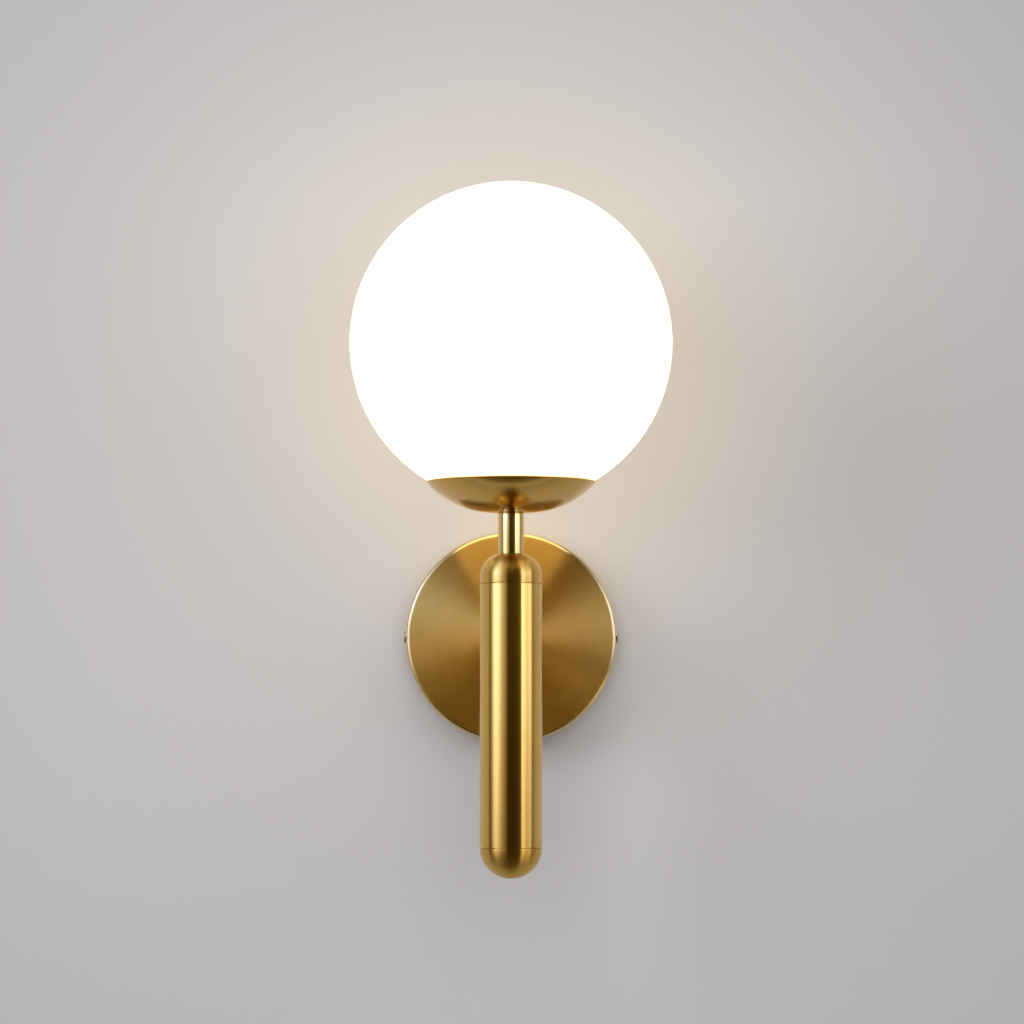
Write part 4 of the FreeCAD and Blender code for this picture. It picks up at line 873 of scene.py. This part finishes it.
class SCONCE_OT_arm(bpy.types.Operator):
    """Turn the arm between wall plate and bar, its front end cut to the bar's round"""

    bl_idname = "sconce.arm"
    bl_label = "Arm"

    def execute(self, context):
        outer, back, _ = outward_size("arm_tube")
        bore, edge = 5.3 * MM, 0.3 * MM
        axis, bar = -LAMP_AXIS.y, high("bar_tube").x
        rows = 24
        profile = [(bore, axis), (bore, back), (outer - edge, back), (outer, back + edge)]
        profile += [(outer, back + (axis - back) * row / rows) for row in range(1, rows + 1)]
        arm = turn_piece("arm_sleeve", profile, FINISHES["satin_brass_arm"], along="Y", around=128)
        for vertex in arm.data.vertices:
            end = LAMP_AXIS.y + math.sqrt(bar ** 2 - vertex.co.x ** 2)
            vertex.co.y = max(vertex.co.y, end)
        finish_piece(tidy_mesh(arm), "wall_unit", "satin_brass", "arm_tube")

        outer, start, end = outward_size("arm_nipple")
        threaded = -low("canopy").y
        pitch = context.scene.sconce_sizes.tube_thread
        profile = soften([(TUBE_BORE, start, 0.3 * MM), (outer, start, 0.4 * MM), (outer, threaded),
                          (outer, end), (TUBE_BORE, end)])
        turn_for("arm_nipple", "arm_inner_tube", divide(profile, outer, pitch / 8), "turned_brass_arm",
                 "turned_brass", along="Y", around=96, thread=(outer, pitch / 2, pitch, start, threaded))
        return {"FINISHED"}


class SCONCE_OT_stem(bpy.types.Operator):
    """Turn the thin polished stem between bar and cup, its end edges broken"""

    bl_idname = "sconce.stem"
    bl_label = "Stem"

    def execute(self, context):
        outer, foot, top = upright_size("stem_tube")
        inner, edge = outer - 0.8 * MM, 0.4 * MM
        profile = soften([(inner, foot), (outer, foot, edge), (outer, top, edge), (inner, top)], 6)
        turn_for("stem_tube", "stem_sleeve", profile, "polished_brass")

        outer, foot, top = upright_size("stem_nipple")
        threaded = low("stem_lock_washer").z - 1.0 * MM
        pitch = context.scene.sconce_sizes.tube_thread
        upper = soften([(outer, threaded), (outer, top, 0.4 * MM), (TUBE_BORE, top, 0.3 * MM),
                        (TUBE_BORE, foot)])
        turn_for("stem_nipple", "stem_inner_tube", divide(upper, outer, pitch / 8) + [(outer, foot)],
                 "turned_brass", around=96, thread=(outer, pitch / 2, pitch, threaded, top))
        return {"FINISHED"}


class SCONCE_OT_cup(bpy.types.Operator):
    """Turn the shallow cup under the globe, with a softened rim"""

    bl_idname = "sconce.cup"
    bl_label = "Cup"

    def execute(self, context):
        sizes = context.scene.sconce_sizes
        rim, sheet, flat = high("shade_cup").x, sizes.cup_sheet, sizes.cup_floor
        deep = CUP_RIM - CUP_FLOOR
        bowl = ((rim - flat) ** 2 + deep ** 2) / (2 * deep)
        centre = CUP_FLOOR + bowl
        end = math.degrees(math.asin((CUP_RIM - centre) / bowl))
        outside = arc(flat, centre, bowl, -90.0, end, 48)
        inside = arc(flat, centre, bowl - sheet, end, -90.0, 48)
        lip = soften([outside[-2], outside[-1] + (0.12 * MM,), inside[0] + (0.3 * MM,), inside[1]])[1:-1]
        profile = [(TUBE_HOLE, CUP_FLOOR)] + outside[:-1] + lip + inside[1:]
        profile += [(TUBE_HOLE, CUP_FLOOR + sheet)]
        turn_for("shade_cup", "cup", profile, "satin_brass_cup", "satin_brass", around=224)
        return {"FINISHED"}


class SCONCE_OT_globe(bpy.types.Operator):
    """Blow the hollow opal globe, with a fire-polished lip at its mouth"""

    bl_idname = "sconce.globe"
    bl_label = "Globe"

    def execute(self, context):
        mouth, fired = 19.0 * MM, (0.9 * MM,)
        inner = GLOBE_RADIUS - context.scene.sconce_sizes.globe_wall
        start = -math.degrees(math.acos(mouth / GLOBE_RADIUS))
        back = -math.degrees(math.acos(mouth / inner))
        outside = arc(0.0, GLOBE_CENTRE, GLOBE_RADIUS, start, 90.0, 96)
        inside = arc(0.0, GLOBE_CENTRE, inner, 90.0, back, 72)
        profile = soften([outside[1], inside[-2], inside[-1] + fired, outside[0] + fired], 5)[2:]
        profile += outside[1:-1] + [(0.0, GLOBE_CENTRE + GLOBE_RADIUS), (0.0, GLOBE_CENTRE + inner)]
        profile += inside[1:-1]
        turn_for("globe_glass", "opal_globe", profile, "opal_glass", body="globe", around=192)
        return {"FINISHED"}


def glass_level(surface, away):
    """Height of a round surface of the globe, in its lower half, at a distance from the axis."""
    return GLOBE_CENTRE - math.sqrt(surface ** 2 - away ** 2)


class SCONCE_OT_globe_fitting(bpy.types.Operator):
    """Turn the threaded carrier in the cup and ring in the globe, with their seal and bond"""

    bl_idname = "sconce.globe_fitting"
    bl_label = "Globe fitting"

    def execute(self, context):
        sizes = context.scene.sconce_sizes
        pitch, depth, edge = sizes.globe_thread, sizes.globe_thread_depth, sizes.soft_edge
        flange, foot, top = upright_size("globe_carrier")
        seal_outer, seal_foot, seal_top = upright_size("seal_ring")
        hub, bore, thread = 8.0 * MM, 14.8 * MM, 16.45 * MM
        flange_foot, floor = seal_foot - 1.2 * MM, high("stem_lock_washer").z - 1.8 * MM
        profile = soften([
            (TUBE_HOLE, foot), (hub, foot, edge), (hub, flange_foot), (flange, flange_foot, edge),
            (flange, seal_foot, edge), (thread, seal_foot), (thread, top, edge), (bore, top, edge),
            (bore, floor, edge), (TUBE_HOLE, floor),
        ])
        turn_for("globe_carrier", "globe_carrier_turned", divide(profile, thread, pitch / 12),
                 "turned_brass", thread=(thread, depth, pitch, seal_foot, top))

        flange, foot, top = upright_size("globe_ring")
        bore, sleeve = thread + FIT, 18.85 * MM
        glass = GLOBE_RADIUS + FIT
        profile = soften([
            (bore, foot, edge), (flange, foot, edge), (flange, glass_level(glass, flange)),
            (sleeve, glass_level(glass, sleeve)), (sleeve, top, edge), (bore, top, edge),
        ])
        turn_for("globe_ring", "globe_ring_turned", divide(profile, bore, pitch / 12), "aluminium",
                 body="globe", thread=(bore, -depth, pitch, foot, top))

        seal_inner = 16.8 * MM
        seal = soften([(seal_inner, seal_foot, edge), (seal_outer, seal_foot, edge),
                       (seal_outer, seal_top, edge), (seal_inner, seal_top, edge)])
        turn_for("seal_ring", "seal_ring_moulded", seal, "clear_silicone", body="seal")

        glass, edge = GLOBE_RADIUS - sizes.globe_wall - FIT, 0.3 * MM
        near, far = sleeve + FIT, high("glass_bond").x
        bead = soften([(near, glass_level(glass, near)), (far, glass_level(glass, far), edge),
                       (near, high("glass_bond").z, edge)])
        turn_for("glass_bond", "glass_bond_bead", bead, "clear_silicone", body="globe")
        return {"FINISHED"}


class SCONCE_OT_bulb(bpy.types.Operator):
    """Build the bulb: moulded base, frosted dome, and a light board with its light sources"""

    bl_idname = "sconce.bulb"
    bl_label = "Bulb"

    def execute(self, context):
        rows = context.scene.sconce_sizes.light_rows
        soften_for("bulb_base", "bulb_base_moulded", "white_plastic", 0.35, "bulb")
        radius, foot, top = upright_size("bulb_dome")
        inner = radius - 0.8 * MM
        dome = [(inner, foot), (radius, foot)] + arc(0.0, top - radius, radius, 0.0, 90.0, 24)
        dome += arc(0.0, top - radius, inner, 90.0, 0.0, 20)
        turn_for("bulb_dome", "bulb_dome_blown", dome, "frosted_cover", body="bulb", around=96)
        soften_for("bulb_light_board", "light_board_cut", "light_board", 0.1, "bulb")

        half, tall, taper = 1.3 * MM, 0.3 * MM, 0.86
        square = ((-half, -half), (half, -half), (half, half), (-half, half))
        points = [(x * size, y * size, level) for level, size in ((0.0, 1.0), (tall, taper))
                  for x, y in square]
        faces = [(3, 2, 1, 0), (4, 5, 6, 7)]
        faces += [(side, (side + 1) % 4, (side + 1) % 4 + 4, side + 4) for side in range(4)]
        chip = new_object("chip", points, faces=faces)
        board_low, board_high = low("bulb_light_board"), high("bulb_light_board")
        margin, column = 1.0 * MM, 2.0 * MM
        rise = (board_high.z - board_low.z - 2 * margin) / rows
        places = []
        for row in range(rows):
            level = board_low.z + margin + rise * (row + 0.5)
            for x in (-column, column):
                places.append(((x, board_low.y, level), (0.0, -1.0, 0.0)))
                places.append(((x, board_high.y, level), (0.0, 1.0, 0.0)))
        finish_piece(set_out("light_sources", chip, FINISHES["phosphor"], places), "bulb", "light_board")
        return {"FINISHED"}


class SCONCE_OT_holder(bpy.types.Operator):
    """Give the bulb's holder, its strap and the nuts and washers soft edges"""

    bl_idname = "sconce.holder"
    bl_label = "Bulb holder"

    def execute(self, context):
        soften_for("lampholder", "lampholder_fired", "ceramic", 0.4)
        for node, name, edge in (
                ("holder_strap", "holder_strap_bent", 0.15), ("stem_nut", "stem_nut_cut", 0.2),
                ("arm_nut", "arm_nut_cut", 0.2), ("stem_lock_washer", "stem_washer_cut", 0.08),
                ("arm_lock_washer", "arm_washer_cut", 0.08)):
            soften_for(node, name, "zinc_steel", edge)
        return {"FINISHED"}


class SCONCE_OT_bracket(bpy.types.Operator):
    """Give the wall bracket, earth lugs and terminal block soft edges"""

    bl_idname = "sconce.bracket"
    bl_label = "Wall bracket"

    def execute(self, context):
        soften_for("wall_bracket", "wall_bracket_bent", "zinc_steel", 0.2)
        soften_for("bracket_earth_lug", "bracket_lug_bent", "tinned_copper", 0.1)
        soften_for("canopy_earth_lug", "plate_lug_bent", "tinned_copper", 0.1)
        soften_for("terminal_block", "terminal_block_moulded", "white_plastic", 0.25)
        return {"FINISHED"}


# Radius and height of a screw's head, radius of its shank and its reach below the head, in millimetres.
SIDE_SCREW = (3.0, 1.66, 1.5, 7.0)
HOLDER_SCREW = (3.0, 1.66, 1.5, 3.2)
CLAMPING_SCREW = (1.8, 1.44, 1.2, 3.5)
BLOCK_SCREW = (1.75, 1.2, 1.25, 7.8)
LUG_SCREW = (3.6, 2.37, 2.0, 2.2)
# How far the clamping screws sit to the side of, and over or under, the middle of all four.
CLAMPING_SIDE, CLAMPING_RISE = 4.0 * MM, 4.2 * MM


def on_both_sides(node, reach):
    """Two places at a node's height and depth, each facing out to its own side."""
    centre = middle(node)
    return [((side * reach, centre.y, centre.z), (side, 0.0, 0.0)) for side in (1.0, -1.0)]


def facing_out(node, screw, spots):
    """Places of screws that face away from the wall, with their seat a head's height behind the front."""
    seat = low(node).y + screw[1] * MM
    return [((x, seat, z), (0.0, -1.0, 0.0)) for x, z in spots]


class SCONCE_OT_screws(bpy.types.Operator):
    """Set out every pan-head screw, each with a domed head and a cross drive"""

    bl_idname = "sconce.screws"
    bl_label = "Screws"

    def execute(self, context):
        block, earth = middle("terminal_block_screw"), middle("earth_screw")
        clamps = [(x, middle("terminal_screws").z + rise) for x in (-CLAMPING_SIDE, CLAMPING_SIDE)
                  for rise in (-CLAMPING_RISE, CLAMPING_RISE)]
        for name, node, slot, screw, places in (
                ("plate_screws", "canopy_side_screws", "nickel_steel", SIDE_SCREW,
                 on_both_sides("canopy_side_screws", high("canopy").x)),
                ("holder_screws", "lampholder_screws", "zinc_steel", HOLDER_SCREW,
                 on_both_sides("lampholder_screws", high("holder_strap").x)),
                ("clamping_screws", "terminal_screws", "zinc_steel", CLAMPING_SCREW,
                 facing_out("terminal_screws", CLAMPING_SCREW, clamps)),
                ("block_screw", "terminal_block_screw", "zinc_steel", BLOCK_SCREW,
                 facing_out("terminal_block_screw", BLOCK_SCREW, [(block.x, block.z)])),
                ("lug_screw", "earth_screw", "zinc_steel", LUG_SCREW,
                 facing_out("earth_screw", LUG_SCREW, [(earth.x, earth.z)]))):
            one = pan_screw(FINISHES[slot], *(size * MM for size in screw))
            finish_piece(set_out(name, one, FINISHES[slot], places), "wall_unit", slot, node)
        return {"FINISHED"}


# The stage, in metres: the wall's reach to each side, its top, the radius of the hole behind the wall
# plate, how far the wall's face lies behind the lamp, and the floor's level and depth.
WALL_REACH, WALL_TOP, WALL_HOLE, WALL_FACE = 9.0, 3.2, 0.045, 0.0004
FLOOR_LEVEL, FLOOR_DEPTH = -1.3, 14.0
# Soft lights: name, place, width and power.
SOFT_LIGHTS = (
    ("window", (-1.7, -1.2, 0.62), 1.3, 19.5),
    ("far_window", (1.43, -1.6, 0.62), 1.3, 8.0),
    ("fill", (0.0, -0.62, 0.05), 0.45, 1.75),
)
BACKGROUND = (1.0, 0.99, 0.985, 1.0)
# Levels of that background: what the world gives as light and what it shows, and the glow that the
# floor and the far wall show.
WORLD_LIGHT, WORLD_SEEN, FLOOR_GLOW, WALL_GLOW = 0.34, 0.8, 0.42, 0.36
# The camera: focal length in millimetres, place beside and before the lamp's axis, height, and tilt.
LENS = 126.6
CAMERA_SIDE, CAMERA_AWAY, CAMERA_HEIGHT, CAMERA_TILT = 0.00046, 1.6684, -0.042, 3.368


class SCONCE_OT_stage(bpy.types.Operator):
    """Set up the wall, floor, soft lights and camera"""

    bl_idname = "sconce.stage"
    bl_label = "Stage"

    def execute(self, context):
        colours = context.scene.sconce_finishes
        wall = wall_with_hole("stage_wall")
        wall.data.materials.append(wall_paint("wall_paint", colours.wall))
        corners = ((-1.0, -FLOOR_DEPTH), (1.0, -FLOOR_DEPTH), (1.0, 0.0), (-1.0, 0.0))
        floor = new_object("stage_floor", [(side * WALL_REACH, out, FLOOR_LEVEL) for side, out in corners],
                           faces=[(0, 1, 2, 3)])
        floor.data.materials.append(floor_paint("floor_paint", colours.floor))
        reflected_room("reflected_room")
        for light in SOFT_LIGHTS:
            soft_light(*light)
        make_world()
        make_camera()
        return {"FINISHED"}


# What the metal mirrors of the room. ROOM_ROUND goes by the angle in degrees off the straight line out
# of the wall, positive to the right, and gives light and its warmth from 0 to 1. ROOM_HEIGHTS goes by
# the angle over the lamp, and gives light and its warmth from -1 to 1 on the left, then on the right.
ROOM_ROUND = (
    (-90, 0.06, 0.8), (-84, 0.08, 0.8), (-76, 0.19, 0.4), (-67, 0.60, 0.0), (-59, 0.88, 0.0),
    (-50, 0.76, 0.0), (-40, 0.48, 0.2), (-30, 0.27, 0.5), (-21, 0.18, 0.7), (-13, 0.03, 1.0),
    (-8, 0.02, 1.0), (10, 0.02, 1.0), (24, 0.03, 1.0), (38, 0.08, 0.8), (40, 0.97, 0.0), (49, 0.9, 0.0),
    (57, 0.62, 0.0), (65, 0.53, 0.0), (73, 0.70, 0.0), (80, 0.56, 0.1), (85, 0.14, 0.7), (90, 0.08, 0.8),
)
ROOM_HEIGHTS = (
    (-90, 0.01, 1.0, 0.01, 1.0), (-50, 0.01, 1.0, 0.03, 1.0), (-40, 0.02, 1.0, 0.18, 1.0),
    (-33, 0.07, 1.0, 0.28, 1.0), (-27, 0.22, 0.9, 0.44, 0.9), (-21, 0.19, 0.8, 0.50, 0.8),
    (-17, 0.18, 0.7, 0.14, 0.8), (-13, 0.38, 0.5, 0.20, 0.7), (-9, 0.60, 0.3, 0.34, 0.5),
    (-5, 0.72, 0.1, 0.54, 0.3), (0, 0.77, 0.0, 0.74, 0.2), (4, 0.80, -0.1, 0.84, 0.0),
    (9, 0.98, -0.4, 0.96, 0.0), (14, 1.14, -0.8, 0.96, 0.0), (20, 1.10, -1.0, 0.80, 0.0),
    (26, 0.92, -0.9, 0.52, 0.0), (32, 0.70, -0.5, 0.30, 0.2), (38, 0.36, 0.0, 0.12, 0.4),
    (46, 0.14, 0.0, 0.16, 0.8), (55, 0.10, 0.0, 0.10, 0.0), (75, 0.20, 0.0, 0.20, 0.0),
    (90, 0.22, 0.0, 0.22, 0.0),
)
# Colours of the mirrored light, round the lamp and by height, at both ends of its warmth.
COLD_LIGHT, WARM_LIGHT = Vector((1.0, 1.05, 1.42)), Vector((1.0, 0.74, 0.2))
LOW_LIGHT, HIGH_LIGHT = Vector((1.0, 0.78, 0.36)), Vector((0.88, 1.12, 1.6))
# The radius of the mirrored room, and how bright its lights and its floor are.
ROOM_REACH, ROOM_LEVEL, ROOM_FLOOR = 1.15, 3.0, 0.075


def angle_ramp(tree, angle, stops):
    """A colour ramp over an angle from -90 to 90 degrees, given in radians."""
    place = math_step(tree, "MULTIPLY_ADD", angle, 1 / math.pi, 0.5)
    ramp = add_node(tree, "ShaderNodeValToRGB", {0: place})
    elements = ramp.color_ramp.elements
    elements.remove(elements[1])
    for index, (degrees, shade) in enumerate(stops):
        position = degrees / 180 + 0.5
        element = elements.new(position) if index else elements[0]
        element.position = position
        element.color = tuple(shade) + (1.0,)
    return ramp.outputs[0]


def tint_of(warmth):
    """The colour of reflected light, from -1 for cold to 1 for warm."""
    return Vector((1.0, 1.0, 1.0)).lerp(LOW_LIGHT if warmth > 0 else HIGH_LIGHT, abs(warmth))


def half_globe(name, reach):
    """A half globe round the lamp, open to the wall."""
    points = []
    faces = []
    rings, steps = 18, 24
    for ring in range(rings + 1):
        rise = math.radians(-90 + 180 * ring / rings)
        for step in range(steps + 1):
            turn = math.radians(-90 + 180 * step / steps)
            points.append((reach * math.cos(rise) * math.sin(turn),
                           LAMP_AXIS.y - reach * math.cos(rise) * math.cos(turn), reach * math.sin(rise)))
            if ring and step:
                corner = len(points) - 1
                faces.append((corner - steps - 2, corner - steps - 1, corner, corner - 1))
    return new_object(name, points, faces=faces)


def reflected_room(name):
    """The room that only the metal mirrors: soft lights, dark room and floor on a half globe."""
    room = half_globe(name, ROOM_REACH)
    material = bpy.data.materials.new(name)
    tree = empty_tree(material)
    place = add_node(tree, "ShaderNodeTexCoord").outputs["Object"]
    unit = vector_step(tree, "NORMALIZE", vector_step(tree, "SUBTRACT", place, LAMP_AXIS))
    x, y, z = add_node(tree, "ShaderNodeSeparateXYZ", {0: unit}).outputs
    turn = math_step(tree, "ARCTAN2", x, math_step(tree, "MULTIPLY", y, -1.0))
    around = angle_ramp(tree, turn, [
        (degrees, level * COLD_LIGHT.lerp(WARM_LIGHT, warmth)) for degrees, level, warmth in ROOM_ROUND])
    rise = math_step(tree, "ARCSINE", z)
    left, right = (
        angle_ramp(tree, rise, [(row[0], row[side] * tint_of(row[side + 1])) for row in ROOM_HEIGHTS])
        for side in (1, 3))
    heights = colour_step(tree, range_step(tree, x, 0.0, 1.0, -0.2, 0.2), left, right)
    lit = vector_step(tree, "MULTIPLY", around, heights)
    floor = range_step(tree, z, 0.0, ROOM_FLOOR, -0.25, -0.75, interpolation_type="SMOOTHSTEP")
    warm_floor = scaled(tree, tuple(WARM_LIGHT), floor)
    total = vector_step(tree, "MULTIPLY_ADD", lit, (ROOM_LEVEL,) * 3, warm_floor)
    shader = add_node(tree, "ShaderNodeEmission", {"Color": total, "Strength": 1.0})
    add_node(tree, "ShaderNodeOutputMaterial", {"Surface": shader.outputs[0]})
    material.cycles.emission_sampling = "NONE"
    room.data.materials.append(material)
    for ray_kind in ("camera", "diffuse", "transmission", "shadow", "volume_scatter"):
        setattr(room, "visible_" + ray_kind, False)
    return room


def soft_light(name, place, size, power):
    """A square soft light aimed at the lamp, which only the matt surfaces see."""
    data = bpy.data.lights.new(name, "AREA")
    data.shape = "SQUARE"
    data.size = size
    data.energy = power
    light = place_object(name, data)
    light.location = place
    light.rotation_euler = (LAMP_AXIS - light.location).to_track_quat("-Z", "Y").to_euler()
    light.visible_glossy = False
    light.visible_camera = False


def wall_with_hole(name):
    """The wall's face, with a round hole behind the wall plate that lets light reach its inside."""
    steps = 48
    points = []
    faces = []
    for step in range(steps):
        angle = math.tau * step / steps
        x, z = math.cos(angle), math.sin(angle)
        rise = WALL_TOP if z > 0 else -FLOOR_LEVEL
        reach = min(WALL_REACH / max(abs(x), 1e-6), rise / max(abs(z), 1e-6))
        points += [(WALL_HOLE * x, WALL_FACE, WALL_HOLE * z), (reach * x, WALL_FACE, reach * z)]
        here, there = 2 * step, 2 * ((step + 1) % steps)
        faces.append((here, here + 1, there + 1, there))
    for x, z in ((WALL_REACH, WALL_TOP), (-WALL_REACH, WALL_TOP), (-WALL_REACH, FLOOR_LEVEL),
                 (WALL_REACH, FLOOR_LEVEL)):
        step = int(math.atan2(z, x) % math.tau / math.tau * steps)
        faces.append((2 * step + 1, len(points), 2 * ((step + 1) % steps) + 1))
        points.append((x, WALL_FACE, z))
    return new_object(name, points, faces=faces)


def seen_rays(tree):
    """1 for rays that show the background: straight to the camera, or by mirror or glass."""
    path = add_node(tree, "ShaderNodeLightPath").outputs
    mirrored = math_step(tree, "MAXIMUM", path["Is Glossy Ray"], path["Is Transmission Ray"])
    return math_step(tree, "MAXIMUM", path["Is Camera Ray"], mirrored)


def background_paint(name):
    """Matt paint that can show the background's colour, and isn't counted as a light."""
    finish = Finish(name, {"Specular IOR Level": 0.2, "Emission Color": BACKGROUND})
    finish.material.cycles.emission_sampling = "NONE"
    return finish, finish.place(), seen_rays(finish.tree)


def floor_paint(name, base):
    """Matt floor, paler to the eye than the light it throws back at the wall."""
    finish, where, seen = background_paint(name)
    cloud = finish.noise(where, 2.0, 3.0, 0.5)
    grain = finish.noise(where, 60.0, 3.0, 0.6)
    pale = finish.blend(finish.spread(cloud, 0.0, 1.0), (0.74, 0.73, 0.73), (0.77, 0.76, 0.76))
    return finish.drive(
        Base_Color=finish.blend(seen, base, pale), Emission_Strength=finish.times(seen, FLOOR_GLOW),
        Roughness=finish.spread(grain, 0.6, 0.8), Normal=finish.bump(grain, 0.0002))


def wall_paint(name, base):
    """Matt wall paint with a faint roller texture, seen from the room only, and paler far off."""
    finish, where, seen = background_paint(name)
    finish.surface.inputs["Roughness"].default_value = 0.85
    glow = finish.spread(finish.vector("LENGTH", where), 0.0, WALL_GLOW, 1.2, 5.0)
    cloud = finish.noise(where, 3.0, 3.0, 0.5)
    grain = finish.noise(where, 420.0, 3.0, 0.6)
    back = finish.node("ShaderNodeNewGeometry").outputs["Backfacing"]
    clear = finish.node("ShaderNodeBsdfTransparent").outputs[0]
    mix = finish.node("ShaderNodeMixShader", {0: back, 1: finish.surface.outputs[0], 2: clear})
    finish.tree.links.new(mix.outputs[0], finish.output.inputs["Surface"])
    return finish.drive(
        Base_Color=finish.clouded(cloud, 0.985, base), Emission_Strength=finish.times(glow, seen),
        Normal=finish.bump(grain, 0.00005))


def make_world():
    """A plain pale surround, brighter to the eye and in reflections than as light."""
    world = bpy.data.worlds.new("surround")
    bpy.context.scene.world = world
    tree = empty_tree(world)
    level = range_step(tree, seen_rays(tree), WORLD_LIGHT, WORLD_SEEN, 0.0, 1.0)
    shader = add_node(tree, "ShaderNodeBackground", {"Color": BACKGROUND, "Strength": level})
    add_node(tree, "ShaderNodeOutputWorld", {"Surface": shader.outputs[0]})


def make_camera():
    """A long lens straight in front, a little below the cup and tilted up."""
    data = bpy.data.cameras.new("camera")
    data.lens = LENS
    data.sensor_width = 36.0
    data.clip_start = 0.02
    data.clip_end = 30.0
    camera = place_object("camera", data)
    camera.location = (CAMERA_SIDE, LAMP_AXIS.y - CAMERA_AWAY, CAMERA_HEIGHT)
    camera.rotation_euler = (math.radians(90.0 + CAMERA_TILT), 0.0, 0.0)
    bpy.context.scene.camera = camera


OPERATORS = (
    SCONCE_OT_finishes, SCONCE_OT_wall_plate, SCONCE_OT_arm, SCONCE_OT_bar, SCONCE_OT_stem, SCONCE_OT_cup,
    SCONCE_OT_globe, SCONCE_OT_globe_fitting, SCONCE_OT_bulb, SCONCE_OT_holder, SCONCE_OT_bracket,
    SCONCE_OT_screws, SCONCE_OT_stage,
)


class SCONCE_PT_panel(bpy.types.Panel):
    """Lists the steps that dress the lamp"""

    bl_idname = "SCONCE_PT_panel"
    bl_label = "Globe wall sconce"
    bl_space_type = "VIEW_3D"
    bl_region_type = "UI"
    bl_category = "Sconce"

    def draw(self, context):
        column = self.layout.column(align=True)
        for operator in OPERATORS:
            column.operator(operator.bl_idname)
        for group in (context.scene.sconce_sizes, context.scene.sconce_finishes):
            box = self.layout.box()
            for name in group.__annotations__:
                box.prop(group, name)


CLASSES = (SconceSizes, SconceFinishes) + OPERATORS + (SCONCE_PT_panel,)


def register():
    """Register the classes and the lamp's settings."""
    for item in CLASSES:
        bpy.utils.register_class(item)
    bpy.types.Scene.sconce_sizes = PointerProperty(type=SconceSizes)
    bpy.types.Scene.sconce_finishes = PointerProperty(type=SconceFinishes)


def unregister():
    """Take the classes and the lamp's settings away again."""
    del bpy.types.Scene.sconce_finishes
    del bpy.types.Scene.sconce_sizes
    for item in reversed(CLASSES):
        bpy.utils.unregister_class(item)


def main():
    """Dress the frame: every operator in turn."""
    register()
    bpy.context.scene.view_settings.view_transform = "Standard"
    for operator in OPERATORS:
        step = getattr(bpy.ops.sconce, operator.bl_idname.split(".")[1])
        step()


if __name__ == "__main__":
    main()
